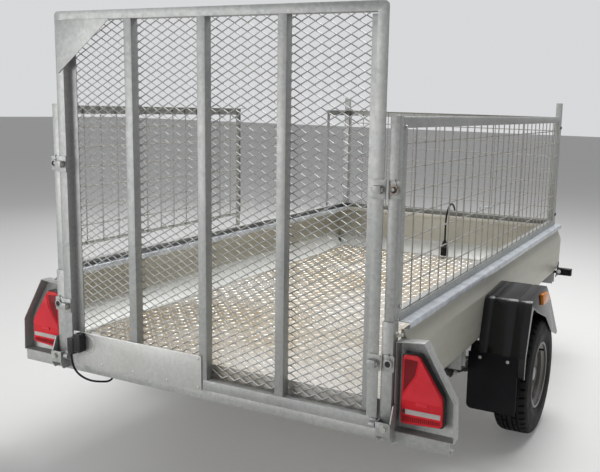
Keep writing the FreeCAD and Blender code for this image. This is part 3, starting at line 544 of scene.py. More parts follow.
class Shape:
    """A mesh in the making: thin wrappers over the bmesh operators."""

    def __init__(self) -> None:
        """Starts an empty mesh."""
        self.bm = bmesh.new()

    def block(self, low: Vector, high: Vector) -> list:
        """Adds a box between two corners.

        Args:
            low: Lowest corner in metres.
            high: Highest corner in metres.

        Returns:
            Its vertices.
        """
        size = Matrix.Diagonal((*(high - low), 1.0))
        place = Matrix.Translation((low + high) / 2) @ size
        return bmesh.ops.create_cube(self.bm, size=1.0, matrix=place)["verts"]

    def rod(self, start: Vector, end: Vector, radius: float, sides: int = 16,
            end_radius: float | None = None) -> list:
        """Adds a round bar or a cone from start to end.

        Args:
            start: Middle of the first end.
            end: Middle of the second end.
            radius: Radius at the start.
            sides: Facets round it.
            end_radius: Radius at the end, the same by default.

        Returns:
            Its vertices.
        """
        run = end - start
        turn = run.to_track_quat("Z", "Y").to_matrix().to_4x4()
        place = Matrix.Translation((start + end) / 2) @ turn
        return bmesh.ops.create_cone(
            self.bm, cap_ends=True, cap_tris=False, segments=sides, radius1=radius,
            radius2=radius if end_radius is None else end_radius, depth=run.length,
            matrix=place)["verts"]

    def ball(self, centre: Vector, radius: float, squash: tuple[float, float, float] = (1, 1, 1),
             rings: int = 10) -> list:
        """Adds a sphere, squashed per axis.

        Args:
            centre: Its middle.
            radius: Radius before the squash.
            squash: Factor on each axis.
            rings: Rings from pole to pole.

        Returns:
            Its vertices.
        """
        place = Matrix.Translation(centre) @ Matrix.Diagonal((*squash, 1.0))
        return bmesh.ops.create_uvsphere(self.bm, u_segments=2 * rings, v_segments=rings,
                                         radius=radius, matrix=place)["verts"]

    def prism(self, outline: list[Vector], run: Vector) -> list:
        """Extrudes a closed outline along run.

        Args:
            outline: Corner points of one end.
            run: Direction and length.

        Returns:
            The vertices of both ends.
        """
        face = self.bm.faces.new([self.bm.verts.new(p) for p in outline])
        out = bmesh.ops.extrude_face_region(self.bm, geom=[face])["geom"]
        far = [v for v in out if isinstance(v, bmesh.types.BMVert)]
        bmesh.ops.translate(self.bm, verts=far, vec=run)
        return list(face.verts) + far

    def plate(self, outline: list[Vector], run: Vector, corner: float = 0.0,
              steps: int = 4) -> list:
        """Extrudes a closed outline whose corners are rounded first.

        Args:
            outline: Corner points of one end.
            run: Direction and length.
            corner: Distance that each corner is cut back.
            steps: Facets of each corner.

        Returns:
            The vertices of both ends.
        """
        before = set(self.bm.faces)
        face = self.bm.faces.new([self.bm.verts.new(p) for p in outline])
        if corner > 0:
            bmesh.ops.bevel(self.bm, geom=list(face.verts), offset=corner, segments=steps,
                            profile=0.5, affect="VERTICES", material=-1, clamp_overlap=True)
            face = [f for f in self.bm.faces if f not in before][0]
        near = list(face.verts)
        out = bmesh.ops.extrude_face_region(self.bm, geom=[face])["geom"]
        far = [v for v in out if isinstance(v, bmesh.types.BMVert)]
        bmesh.ops.translate(self.bm, verts=far, vec=run)
        return near + far

    def join(self, part: "Shape") -> None:
        """Takes in another shape, which was made apart so that only it was softened.

        Args:
            part: The other shape, which is used up.
        """
        mesh = bpy.data.meshes.new("part")
        part.bm.to_mesh(mesh)
        part.bm.free()
        self.bm.from_mesh(mesh)
        bpy.data.meshes.remove(mesh)

    def head(self, place: Vector, axis: Vector, radius: float, height: float,
             sides: int = 6, washer: float = 0.0) -> None:
        """Adds a bolt head or nut standing on a surface, with a washer under it.

        Args:
            place: Middle of its foot on the surface.
            axis: Unit direction away from the surface.
            radius: Radius over its corners.
            height: How far it stands up.
            sides: Six for a hex head, more for a round one.
            washer: Radius of the washer, none at 0.
        """
        foot = place
        if washer > 0:
            foot = place + axis * (height * 0.2)
            self.rod(place, foot, washer, 20)
        waist = foot + axis * (height * 0.75)
        self.rod(foot, waist, radius, sides)
        self.rod(waist, foot + axis * height, radius, sides, radius * 0.86)

    def lathe(self, profile: list[tuple[float, float]], centre: Vector, axis: Vector,
              radial: Vector, steps: int = 48, closed: bool = True) -> list:
        """Spins a profile round an axis.

        Args:
            profile: Pairs of place along the axis and radius, in metres.
            centre: A point on the axis where the first number is zero.
            axis: Unit direction of the axis.
            radial: Unit direction at a right angle to it.
            steps: Facets of the full turn.
            closed: Joins the last point to the first.

        Returns:
            The vertices it made.
        """
        before = set(self.bm.verts)
        points = [self.bm.verts.new(centre + axis * a + radial * r) for a, r in profile]
        pairs = list(zip(points, points[1:]))
        if closed:
            pairs.append((points[-1], points[0]))
        edges = [self.bm.edges.new(p) for p in pairs]
        bmesh.ops.spin(self.bm, geom=points + edges, cent=centre, axis=axis,
                       angle=2 * math.pi, steps=steps, use_merge=True)
        bmesh.ops.remove_doubles(self.bm, verts=self.bm.verts, dist=1e-6)
        return [v for v in self.bm.verts if v not in before]

    def mirror_x(self) -> None:
        """Adds the left-hand twin of everything so far."""
        out = bmesh.ops.duplicate(
            self.bm, geom=list(self.bm.verts) + list(self.bm.edges) + list(self.bm.faces))
        verts = [v for v in out["geom"] if isinstance(v, bmesh.types.BMVert)]
        faces = [f for f in out["geom"] if isinstance(f, bmesh.types.BMFace)]
        bmesh.ops.scale(self.bm, verts=verts, vec=(-1.0, 1.0, 1.0))
        bmesh.ops.reverse_faces(self.bm, faces=faces)

    def turn(self, verts: list, centre: Vector, axis: str, degrees: float) -> None:
        """Turns some vertices about an axis through centre."""
        bmesh.ops.rotate(self.bm, verts=verts, cent=centre,
                         matrix=Matrix.Rotation(math.radians(degrees), 3, axis))

    def soften(self, width: float, segments: int = 2, limit: float = 30.0) -> None:
        """Bevels every edge sharper than limit degrees."""
        self.bm.normal_update()
        edges = [e for e in self.bm.edges
                 if len(e.link_faces) == 2 and e.calc_face_angle(0.0) > math.radians(limit)]
        bmesh.ops.bevel(self.bm, geom=edges, offset=width, segments=segments, profile=0.5,
                        affect="EDGES", material=-1, clamp_overlap=True)

    def finish(self, name: str, material: bpy.types.Material, body: Body | None, slot: str,
               replaces: tuple[str, ...] = (), crease: float = 32.0,
               outward: bool = True) -> bpy.types.Object:
        """Turns the mesh into a finished piece of the object.

        Args:
            name: The piece's name.
            material: Its finish.
            body: The body it rides on, none for a piece that bends between two.
            slot: The record's material slot, not used.
            replaces: Nodes that it stands for.
            crease: Edges sharper than this many degrees stay sharp.
            outward: Works out the normals afresh.

        Returns:
            The new object.
        """
        bmesh.ops.dissolve_degenerate(self.bm, dist=1e-7, edges=self.bm.edges)
        if outward:
            bmesh.ops.recalc_face_normals(self.bm, faces=self.bm.faces)
        self.bm.normal_update()
        for face in self.bm.faces:
            face.smooth = True
        for edge in self.bm.edges:
            if len(edge.link_faces) == 2:
                edge.smooth = edge.calc_face_angle(0.0) < math.radians(crease)
        mesh = bpy.data.meshes.new(name)
        self.bm.to_mesh(mesh)
        self.bm.free()
        piece = bpy.data.objects.new(name, mesh)
        bpy.context.scene.collection.objects.link(piece)
        mesh.materials.append(material)
        if body is not None:
            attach(piece, body.value)
        if replaces:
            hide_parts(*replaces)
        LOG.info("%s: %d faces", name, len(mesh.polygons))
        return piece


def eased(frame: dict, node: str, name: str, material: bpy.types.Material, body: Body,
          slot: str, width: float = 0.0008, segments: int = 2) -> bpy.types.Object:
    """Copies a node with its edges eased and lets the copy stand for it.

    Args:
        frame: The loaded frame.
        node: The node to copy.
        name: The copy's name.
        material: Its finish.
        body: The body it rides on.
        slot: The record's material slot.
        width: Radius of the eased edges.
        segments: Steps across them.

    Returns:
        The new object.
    """
    shape = Shape()
    shape.bm.from_mesh(frame["nodes"][node].data)
    bmesh.ops.remove_doubles(shape.bm, verts=shape.bm.verts, dist=1e-5)
    bmesh.ops.dissolve_limit(shape.bm, angle_limit=math.radians(1.0), verts=shape.bm.verts,
                             edges=shape.bm.edges)
    if width > 0:
        shape.soften(width, segments)
    return shape.finish(name, material, body, slot, (node,), outward=False)


# Sub-assemblies


@dataclass
class Dressing:
    """Nodes whose own form is right, with eased edges and a finish each."""

    frame: dict
    palette: Palette

    def build(self) -> None:
        """Eases every plain node."""
        # node, finish, slot, edge radius
        rows = [
            ("side_rails", "galvanised", "galvanised", 0.0006),
            ("cross_members", "galvanised", "galvanised", 0.0006),
            ("rear_crossbar", "galvanised", "galvanised", 0.0008),
            ("post_sockets", "galvanised", "galvanised", 0.0008),
            ("rear_posts", "galvanised", "galvanised", 0.0010),
            ("front_posts", "galvanised", "galvanised", 0.0010),
            ("side_frame_right", "galvanised", "galvanised", 0.0008),
            ("side_frame_left", "galvanised", "galvanised", 0.0008),
            ("front_frame", "galvanised", "galvanised", 0.0008),
            ("lamp_housings", "galvanised", "galvanised", 0.0007),
            ("latch_catches", "galvanised", "rusty_steel", 0.0008),
            ("axle_beam", "galvanised", "galvanised", 0.0015),
            ("leaf_springs", "black_steel", "black_steel", 0.0008),
            ("spring_hangers", "black_steel", "black_steel", 0.0008),
            ("u_bolts", "bolt_zinc", "zinc_bright", 0.0006),
            ("mudguards", "black_plastic", "black_plastic", 0.0009),
            ("side_markers", "amber_lens", "amber_lens", 0.0020),
            ("drawbar", "galvanised", "galvanised", 0.0020),
            ("coupling_head", "zinc_bright", "zinc_bright", 0.0020),
            ("coupling_lever", "zinc_bright", "zinc_bright", 0.0025),
            ("jockey_clamp", "galvanised", "galvanised", 0.0010),
            ("jockey_tube", "zinc_bright", "zinc_bright", 0.0006),
            ("jockey_crank", "zinc_bright", "zinc_bright", 0.0012),
            ("kick_strips", "kick_sheet", "kick_sheet", 0.0006),
            # the front board takes the paler copy of the wall sheet: painted light
            ("front_board", "wall_sheet_painted_lit", "wall_sheet", 0.0006),
        ]
        for node, finish, slot, width in rows:
            eased(self.frame, node, node + "_eased", self.palette[finish], Body.CHASSIS,
                  slot, width)
        for node, finish, slot, width in (
                ("gate_frame", "gate_zinc", "galvanised", 0.0009),
                ("gate_bars", "gate_zinc", "galvanised", 0.0008),
                ("gate_gusset", "gate_zinc", "galvanised", 0.0006),
                ("number_plate", "plate_sheet", "plate_sheet", 0.0008),
                ("gate_latches", "galvanised", "rusty_steel", 0.0008),
                ("gate_knuckles", "galvanised", "galvanised", 0.0004)):
            eased(self.frame, node, node + "_eased", self.palette[finish], Body.GATE, slot, width)
        eased(self.frame, "jockey_fork", "jockey_fork_eased", self.palette["galvanised"],
              Body.JOCKEY_FORK, "galvanised", 0.0008)
        for node, body in (("hub_right", Body.WHEEL_RIGHT), ("hub_left", Body.WHEEL_LEFT)):
            eased(self.frame, node, node + "_eased", self.palette["galvanised"], body,
                  "galvanised", 0.0008)

    def paint_nodes(self) -> None:
        """Gives every node that still shows its own finish."""
        for entry in self.frame["record"]["subparts"]:
            node = self.frame["nodes"][entry["node"]]
            slot = entry["material_slot"]
            material = self.palette.made.get(slot)
            if material is None:
                continue
            for holder in node.material_slots:
                holder.material = material
            if not node.material_slots:
                node.data.materials.append(material)


@dataclass
class ExpandedMetal:
    """The gate's expanded sheet: zigzag strands bonded row by row."""

    palette: Palette
    half_width: float = 565.0
    z_low: float = 411.0
    z_high: float = 1549.0
    y_mid: float = 31.5
    long_way: float = 45.0
    short_way: float = 25.0
    strand: float = 3.4
    thick: float = 2.2
    tilt: float = 28.0

    def build(self) -> None:
        """Makes one strand of two slopes, a row of them, then every row."""
        columns = round(2 * self.half_width / self.long_way)
        rows = round(2 * (self.z_high - self.z_low) / self.short_way)
        pitch_x = 2 * self.half_width / columns
        pitch_z = 2 * (self.z_high - self.z_low) / rows
        shape = Shape()
        bm = shape.bm
        w, t = self.strand * MM / 2, self.thick * MM / 2
        start = at(-self.half_width, self.y_mid, self.z_low)
        corners = [Vector((0, -t, -w)), Vector((0, t, -w)), Vector((0, t, w)), Vector((0, -t, w))]
        lean = Matrix.Rotation(math.radians(self.tilt), 3, "X")
        ring = [bm.verts.new(start + lean @ c) for c in corners]
        face = bm.faces.new(ring)
        rise = pitch_z / 2 * MM
        for sign in (1, -1):
            out = bmesh.ops.extrude_face_region(bm, geom=[face])["geom"]
            verts = [v for v in out if isinstance(v, bmesh.types.BMVert)]
            bmesh.ops.translate(bm, verts=verts,
                                vec=Vector((pitch_x / 2 * MM, 0, sign * rise)))
            old, face = face, [f for f in out if isinstance(f, bmesh.types.BMFace)][0]
            bmesh.ops.delete(bm, geom=[old], context="FACES_ONLY")
        bmesh.ops.delete(bm, geom=[face], context="FACES_ONLY")
        unit = list(bm.verts) + list(bm.edges) + list(bm.faces)
        for i in range(1, columns):
            out = bmesh.ops.duplicate(bm, geom=unit)["geom"]
            verts = [v for v in out if isinstance(v, bmesh.types.BMVert)]
            bmesh.ops.translate(bm, verts=verts, vec=Vector((i * pitch_x * MM, 0, 0)))
        bmesh.ops.remove_doubles(bm, verts=bm.verts, dist=1e-6)
        row = list(bm.verts) + list(bm.edges) + list(bm.faces)
        centre = start + Vector((self.half_width * MM, 0, rise / 2))
        for j in range(1, rows):
            out = bmesh.ops.duplicate(bm, geom=row)["geom"]
            verts = [v for v in out if isinstance(v, bmesh.types.BMVert)]
            faces = [f for f in out if isinstance(f, bmesh.types.BMFace)]
            if j % 2:
                bmesh.ops.translate(bm, verts=verts, vec=-centre)
                bmesh.ops.scale(bm, verts=verts, vec=(1.0, 1.0, -1.0))
                bmesh.ops.translate(bm, verts=verts, vec=centre)
                bmesh.ops.reverse_faces(bm, faces=faces)
            bmesh.ops.translate(bm, verts=verts, vec=Vector((0, 0, j * rise)))
        shape.finish("gate_expanded_mesh", self.palette["gate_mesh"], Body.GATE, "gate_mesh",
                     ("gate_mesh",), outward=False)


@dataclass
class WeldedMesh:
    """A panel of round wires welded crosswise."""

    palette: Palette
    name: str
    node: str
    low: tuple[float, float, float]
    high: tuple[float, float, float]
    along_y: bool
    pitch: float = 79.0
    pitch_z: float = 70.0
    radius: float = 2.3

    def build(self) -> None:
        """Lays the upright wires, then the level ones against them."""
        shape = Shape()
        run_axis = 1 if self.along_y else 0
        thin_axis = 0 if self.along_y else 1
        length = self.high[run_axis] - self.low[run_axis]
        count = round(length / self.pitch)
        rows = round((self.high[2] - self.low[2]) / self.pitch_z)
        mid = (self.low[thin_axis] + self.high[thin_axis]) / 2
        for i in range(count + 1):
            place = [0.0, 0.0, 0.0]
            place[run_axis] = self.low[run_axis] + self.radius + i * (
                length - 2 * self.radius) / count
            place[thin_axis] = mid + self.radius * 0.5
            shape.rod(at(place[0], place[1], self.low[2]), at(place[0], place[1], self.high[2]),
                      self.radius * MM, 8)
        for j in range(rows + 1):
            z = self.low[2] + self.radius + j * (
                self.high[2] - self.low[2] - 2 * self.radius) / rows
            start, end = list(self.low), list(self.high)
            for point in (start, end):
                point[thin_axis] = mid - self.radius * 0.5
                point[2] = z
            shape.rod(at(*start), at(*end), self.radius * MM, 8)
        shape.finish(self.name, self.palette["mesh_wire"], Body.CHASSIS, "mesh_wire",
                     (self.node,))


@dataclass
class Floor:
    """The tread plate: the CAD sheet with its raised lens-shaped bars."""

    palette: Palette
    half_width: float = 592.0
    y_low: float = 44.0
    y_high: float = 2136.0
    top: float = 460.0
    pitch: float = 32.0
    length: float = 25.0
    width: float = 7.5
    height: float = 1.6

    def build(self) -> None:
        """Makes one bar, then lays rows of them turned this way and that."""
        shape = Shape()
        bm = shape.bm
        half, w = self.length / 2 * MM, self.width / 2 * MM
        outline = [Vector((-half, 0, 0)), Vector((-half * 0.5, -w * 0.8, 0)),
                   Vector((half * 0.5, -w * 0.8, 0)), Vector((half, 0, 0)),
                   Vector((half * 0.5, w * 0.8, 0)), Vector((-half * 0.5, w * 0.8, 0))]
        verts = shape.prism(outline, Vector((0, 0, self.height * MM)))
        top = [v for v in verts if v.co.z > 0]
        bmesh.ops.scale(bm, verts=top, vec=(0.72, 0.45, 1.0))
        bottom = [f for f in bm.faces if all(v.co.z < 1e-6 for v in f.verts)]
        bmesh.ops.delete(bm, geom=bottom, context="FACES_ONLY")
        unit = list(bm.verts) + list(bm.edges) + list(bm.faces)
        nx = int(2 * self.half_width / self.pitch)
        ny = int((self.y_high - self.y_low) / self.pitch)
        for i in range(nx):
            for j in range(ny):
                out = bmesh.ops.duplicate(bm, geom=unit)["geom"]
                verts = [v for v in out if isinstance(v, bmesh.types.BMVert)]
                shape.turn(verts, Vector((0, 0, 0)), "Z", 45.0 if (i + j) % 2 else -45.0)
                where = at(-self.half_width + (i + 0.7) * self.pitch,
                           self.y_low + (j + 0.7) * self.pitch, self.top)
                bmesh.ops.translate(bm, verts=verts, vec=where)
        bmesh.ops.delete(bm, geom=[g for g in unit if isinstance(g, bmesh.types.BMVert)],
                         context="VERTS")
        shape.finish("floor_tread_bars", self.palette["tread_bar"], Body.CHASSIS,
                     "floor_sheet", outward=False)


@dataclass
class Wall:
    """A side wall of folded sheet under a bright rolled rim."""

    palette: Palette
    side: Side
    y_low: float = 60.0
    y_high: float = 2225.0
    sheet: float = 2.0
    bend: float = 4.0

    def folded(self, line: list[tuple[float, float]], name: str, finish: str, slot: str,
               replaces: tuple[str, ...]) -> None:
        """Sweeps one open section along the body, rounds its bends and thickens it.

        Args:
            line: Points of the outer face on the right side, X and Z.
            name: The piece's name.
            finish: Its finish.
            slot: The record's material slot.
            replaces: Nodes that it stands for.
        """
        shape = Shape()
        bm = shape.bm
        sign = self.side.value
        verts = [bm.verts.new(at(sign * x, self.y_low, z)) for x, z in line]
        for pair in zip(verts, verts[1:]):
            bm.edges.new(pair)
        bmesh.ops.bevel(bm, geom=verts[1:-1], offset=self.bend * MM, segments=3, profile=0.5,
                        affect="VERTICES", material=-1)
        out = bmesh.ops.extrude_edge_only(bm, edges=list(bm.edges))["geom"]
        far = [v for v in out if isinstance(v, bmesh.types.BMVert)]
        bmesh.ops.translate(bm, verts=far, vec=Vector((0, (self.y_high - self.y_low) * MM, 0)))
        bmesh.ops.recalc_face_normals(bm, faces=bm.faces)
        probe = max(bm.faces, key=lambda f: f.calc_center_median().z)
        if probe.normal.z < 0:
            bmesh.ops.reverse_faces(bm, faces=bm.faces)
        bmesh.ops.solidify(bm, geom=list(bm.faces), thickness=self.sheet * MM)
        shape.finish(name, self.palette[finish], Body.CHASSIS, slot, replaces, crease=50.0)

    def build(self) -> None:
        """Makes the rim and the sheet under it."""
        name = "side_wall_" + self.side.name.lower()
        # the rim takes the paler bluish zinc, whose extra brightness is painted sheen
        self.folded([(604, 673), (604, 694), (670, 694), (670, 673), (652.5, 673)],
                    name + "_rim", "rim_zinc", "zinc_bright", ())
        self.folded([(652, 674), (652, 663), (672, 614), (668, 455), (614, 455)],
                    name + "_folded", "wall_sheet", "wall_sheet", (name,))
        sign = self.side.value
        end = Shape()
        outline = [(642, 470), (665.5, 470), (669, 613), (650.5, 661), (650.5, 671), (642, 671)]
        end.plate([at(sign * x, self.y_low + 1, z) for x, z in outline], Vector((0, 1.5 * MM, 0)))
        end.finish(name + "_end", self.palette["wall_sheet"], Body.CHASSIS, "wall_sheet")


@dataclass
class TailLamps:
    """The two rear lamps: dark base, ribbed red lens, triangle, white strip and foot."""

    palette: Palette
    face_y: float = 26.0
    back_y: float = 56.0

    def rows(self, points: list[tuple[float, float]], y: float) -> list[Vector]:
        """Turns X and Z pairs into points at depth y."""
        return [at(x, y, z) for x, z in points]

    def piece(self, name: str, finish: str, slot: str, parts: list,
              replaces: tuple[str, ...] = ()) -> None:
        """Makes one piece of flat plates for both sides.

        Args:
            name: The piece's name.
            finish: Its finish.
            slot: The record's material slot.
            parts: Rows of outline, front depth, back depth, corner and edge radius.
            replaces: Nodes that it stands for.
        """
        shape = Shape()
        for outline, front, back, corner, edge in parts:
            part = Shape()
            part.plate(self.rows(outline, front), Vector((0, (back - front) * MM, 0)),
                       corner * MM)
            if edge > 0:
                part.soften(edge * MM, 2, 40.0)
            shape.join(part)
        shape.mirror_x()
        shape.finish(name, self.palette[finish], Body.CHASSIS, slot, replaces)

    def build(self) -> None:
        """Makes the pieces from the base out to the strip."""
        lens = [(662, 405), (788, 413), (787, 498), (712, 611), (662, 608)]
        base = [(659, 402), (791, 410), (790, 499), (713, 614), (659, 611)]
        self.piece("lamp_bases", "black_plastic", "black_plastic",
                   [(base, self.face_y + 9, self.back_y, 9, 1.0)])
        self.piece("lamp_lenses", "lamp_lens", "lamp_lens",
                   [(lens, self.face_y + 1.5, self.back_y - 6, 10, 2.6)], ("tail_lamps",))
        facet = [(665, 477), (785, 477), (785, 493), (722, 594), (716, 598), (709, 552),
                 (666, 487)]
        pad = [(708, 466), (743, 466), (743, 478), (708, 478)]
        self.piece("lamp_triangles", "lens_reflector", "lamp_lens",
                   [(facet, self.face_y - 0.4, self.face_y + 3, 1.5, 0.8),
                    (pad, self.face_y - 1.2, self.face_y + 1, 2, 0.5)])
        corner = [(667, 498), (702, 553), (709, 596), (670, 598)]
        self.piece("lamp_corners", "lens_dark", "lamp_lens",
                   [(corner, self.face_y + 0.8, self.face_y + 3, 3, 0.5)])
        strip = [(677, 437), (782, 438), (782, 452), (677, 451)]
        frame = [(666, 434), (785, 435), (785, 455), (666, 454)]
        self.piece("lamp_strip_frames", "lens_reflector", "lamp_lens",
                   [(frame, self.face_y + 0.3, self.face_y + 3, 2, 0.6)])
        self.piece("lamp_strips", "lens_white", "lamp_lens",
                   [(strip, self.face_y - 0.8, self.face_y + 1, 1, 0.4)])
        dark = [(668.5, 438), (675.5, 438), (675.5, 451), (668.5, 451)]
        ribs = [([(x, 413 + (x - 668) * 0.06), (x + 3.2, 413 + (x - 668) * 0.06),
                  (x + 3.2, 430), (x, 430)], self.face_y + 0.4, self.face_y + 3, 0.8, 0.4)
                for x in range(669, 783, 6)]
        self.piece("lamp_foot_ribs", "lens_dark", "lamp_lens", ribs)
        self.piece("lamp_dark_ends", "hole_shadow", "lamp_lens",
                   [(dark, self.face_y - 0.6, self.face_y + 1, 1, 0.3)])


@dataclass
class Wheel:
    """One road wheel: a treaded tyre on a pressed steel rim."""

    palette: Palette
    side: Side
    middle: float = 769.5
    axle_y: float = 1090.0
    axle_z: float = 240.0
    steps: int = 180
    slot_depth: float = 4.5
    slot_every: int = 4
    rib_slot_every: int = 6
    pit_depth: float = 2.5
    pit_every: int = 22
    pit_steps: int = 5

    def place(self) -> tuple[Vector, Vector, Vector]:
        """Returns the wheel's centre, its outward axis and a radial direction."""
        sign = self.side.value
        return (at(sign * self.middle, self.axle_y, self.axle_z), Vector((sign, 0, 0)),
                Vector((0, 0, 1)))

    def spun(self, shape: Shape, profile: list[tuple[float, float]]) -> None:
        """Spins a profile given in millimetres outward and from the axis."""
        centre, axis, radial = self.place()
        shape.lathe([(a * MM, r * MM) for a, r in profile], centre, axis, radial, self.steps)

    def tyre(self) -> None:
        """Spins the tyre, then presses slots across both shoulders."""
        wall = [(59.5, 127.2), (59.5, 133), (61, 137), (64.8, 140.5), (66.4, 146), (65.8, 148.5),
                (68.2, 152), (71.0, 165), (72.2, 176), (72.0, 186), (71.1, 187.5), (71.2, 190),
                (70.3, 200), (67.4, 213), (68.0, 215.5), (64.6, 226), (60.5, 232), (56.5, 235)]
        tread = [(50, 238.0), (38.5, 239.6), (31.5, 239.9), (31.0, 234), (26.0, 234),
                 (25.5, 239.9), (13.5, 239.9), (13.0, 234), (8.0, 234), (7.5, 239.9)]
        half = wall + tread
        shape = Shape()
        self.spun(shape, half + [(-a, r) for a, r in half[::-1]])
        bm = shape.bm
        centre = self.place()[0]
        slots = []
        for face in bm.faces:
            mid = face.calc_center_median() - centre
            reach = math.hypot(mid.y, mid.z) / MM
            across = abs(mid.x) / MM
            step = int((math.atan2(mid.z, mid.y) / (2 * math.pi) + 1.0) * self.steps)
            shoulder = 38.5 < across < 60.0 and reach > 232.0 and step % self.slot_every == 0
            rib = 13.5 < across < 25.5 and reach > 239.0 and (
                    step % self.rib_slot_every == (2 if mid.x > 0 else 5))
            if shoulder or rib:
                slots.append(face)
        out = bmesh.ops.extrude_discrete_faces(bm, faces=slots)["faces"]
        for face in out:
            for vert in face.verts:
                away = vert.co - centre
                away.x = 0.0
                vert.co -= away.normalized() * (self.slot_depth * MM)
        name = "tyre_" + self.side.name.lower()
        shape.finish(name + "_treaded", self.palette["tyre"], self.body(), "tyre", (name,),
                     crease=28.0)

    def body(self) -> Body:
        """The body that this wheel's pieces ride on."""
        return Body.WHEEL_RIGHT if self.side is Side.RIGHT else Body.WHEEL_LEFT

    def rim(self) -> None:
        """Spins the rim's barrel and its dished disc, with hand holes and a valve."""
        barrel = [(63.5, 133.0), (62.0, 134.4), (60.0, 134.0), (59.6, 127), (52, 126.8),
                  (44, 112), (10, 108), (-40, 124), (-59.6, 127), (-60.0, 134.0),
                  (-62.0, 134.4), (-63.5, 133.0), (-63.0, 123.4), (-42, 120.5), (9, 104.6),
                  (46, 108.5), (55.0, 123.2), (62.5, 123.6)]
        disc = [(6, 32.5), (6, 58), (10, 64), (33, 90), (34, 95), (27, 104), (16, 108),
                (12, 108), (20, 100), (29, 93), (28, 90), (6, 66), (2, 60), (2, 32.5)]
        shape = Shape()
        self.spun(shape, barrel)
        self.spun(shape, disc)
        centre, axis, _ = self.place()
        pits = []
        for face in shape.bm.faces:
            mid = face.calc_center_median() - centre
            out = mid.dot(axis) / MM
            reach = math.hypot(mid.y, mid.z) / MM
            step = int((math.atan2(mid.z, mid.y) / (2 * math.pi) + 1.0) * self.steps)
            if 64.5 < reach < 90.0 and out > 18.0 and face.normal.dot(axis) > 0.2 and (
                    step % self.pit_every < self.pit_steps):
                pits.append(face)
        if pits:
            out = bmesh.ops.extrude_face_region(shape.bm, geom=pits)["geom"]
            verts = [v for v in out if isinstance(v, bmesh.types.BMVert)]
            bmesh.ops.translate(shape.bm, verts=verts, vec=axis * (-self.pit_depth * MM))
            bmesh.ops.delete(shape.bm, geom=pits, context="FACES_ONLY")
        name = "rim_" + self.side.name.lower()
        shape.finish(name + "_pressed", self.palette["rim_paint"], self.body(), "rim_paint",
                     (name,), crease=30.0)
        valve = Shape()
        spot = Vector((0, math.cos(1.1), math.sin(1.1)))
        foot = centre + axis * (38 * MM) + spot * (101 * MM)
        valve.rod(foot, foot + axis * (20 * MM) + spot * (1 * MM), 5.5 * MM, 16, 4.0 * MM)
        tip = foot + axis * (20 * MM) + spot * (1 * MM)
        valve.rod(tip, tip + axis * (10 * MM), 4.4 * MM, 12)
        valve.finish("valve_" + self.side.name.lower(), self.palette["plug_plastic"],
                     self.body(), "plug_plastic")

    def build(self) -> None:
        """Makes the tyre, the rim and the valve."""
        self.tyre()
        self.rim()


@dataclass
class Flaps:
    """The two rubber flaps behind the wheels, with their screws."""

    palette: Palette
    face_y: float = 731.0
    thick: float = 4.0

    def build(self) -> None:
        """Makes both flaps and the round screw heads."""
        shape = Shape()
        outline = [(640, 192), (826, 192), (826, 412), (640, 412)]
        verts = shape.plate([at(x, self.face_y, z) for x, z in outline],
                            Vector((0, self.thick * MM, 0)))
        low = [e for e in shape.bm.edges if all(v in verts and v.co.z < 0.2 for v in e.verts)
               and abs(e.verts[0].co.y - e.verts[1].co.y) > 1e-4]
        bmesh.ops.bevel(shape.bm, geom=low, offset=20 * MM, segments=8, profile=0.5,
                        affect="EDGES", material=-1)
        shape.soften(0.0008)
        shape.mirror_x()
        shape.finish("flaps_moulded", self.palette["flap_rubber"], Body.CHASSIS, "flap_rubber",
                     ("mud_flaps",))
        screws = Shape()
        for x, z in ((684, 395), (788, 393)):
            screws.ball(at(x, self.face_y, z), 6.5 * MM, (1, 0.45, 1), 8)
        screws.mirror_x()
        screws.finish("flap_screws", self.palette["bolt_zinc"], Body.CHASSIS, "zinc_bright")


@dataclass
class PlateLamp:
    """The number plate's lamp: a smooth box beside a ribbed body."""

    palette: Palette
    low_z: float = 422.0

    def build(self) -> None:
        """Makes the box and the ribbed body."""
        shape = Shape()
        shape.block(at(-559, -33.5, self.low_z), at(-533, -4, 478))
        shape.soften(0.0022, 3)
        body = Shape()
        outline = [(-533, 431), (-505, 431), (-501, 440), (-501, 484), (-507, 497), (-527, 497),
                   (-533, 488)]
        body.plate([at(x, -4, z) for x, z in outline], Vector((0, -27 * MM, 0)), 2.5 * MM)
        body.soften(0.0015, 2, 40)
        shape.join(body)
        for z in range(436, 494, 7):
            shape.block(at(-532, -32.4, z), at(-503, -30, z + 3))
        for z in range(434, 492, 9):
            shape.ball(at(-532.5, -31, z), 2.2 * MM, (1, 1, 1), 6)
        shape.finish("plate_lamp_moulded", self.palette["black_plastic"], Body.GATE,
                     "black_plastic", ("plate_lamp",))


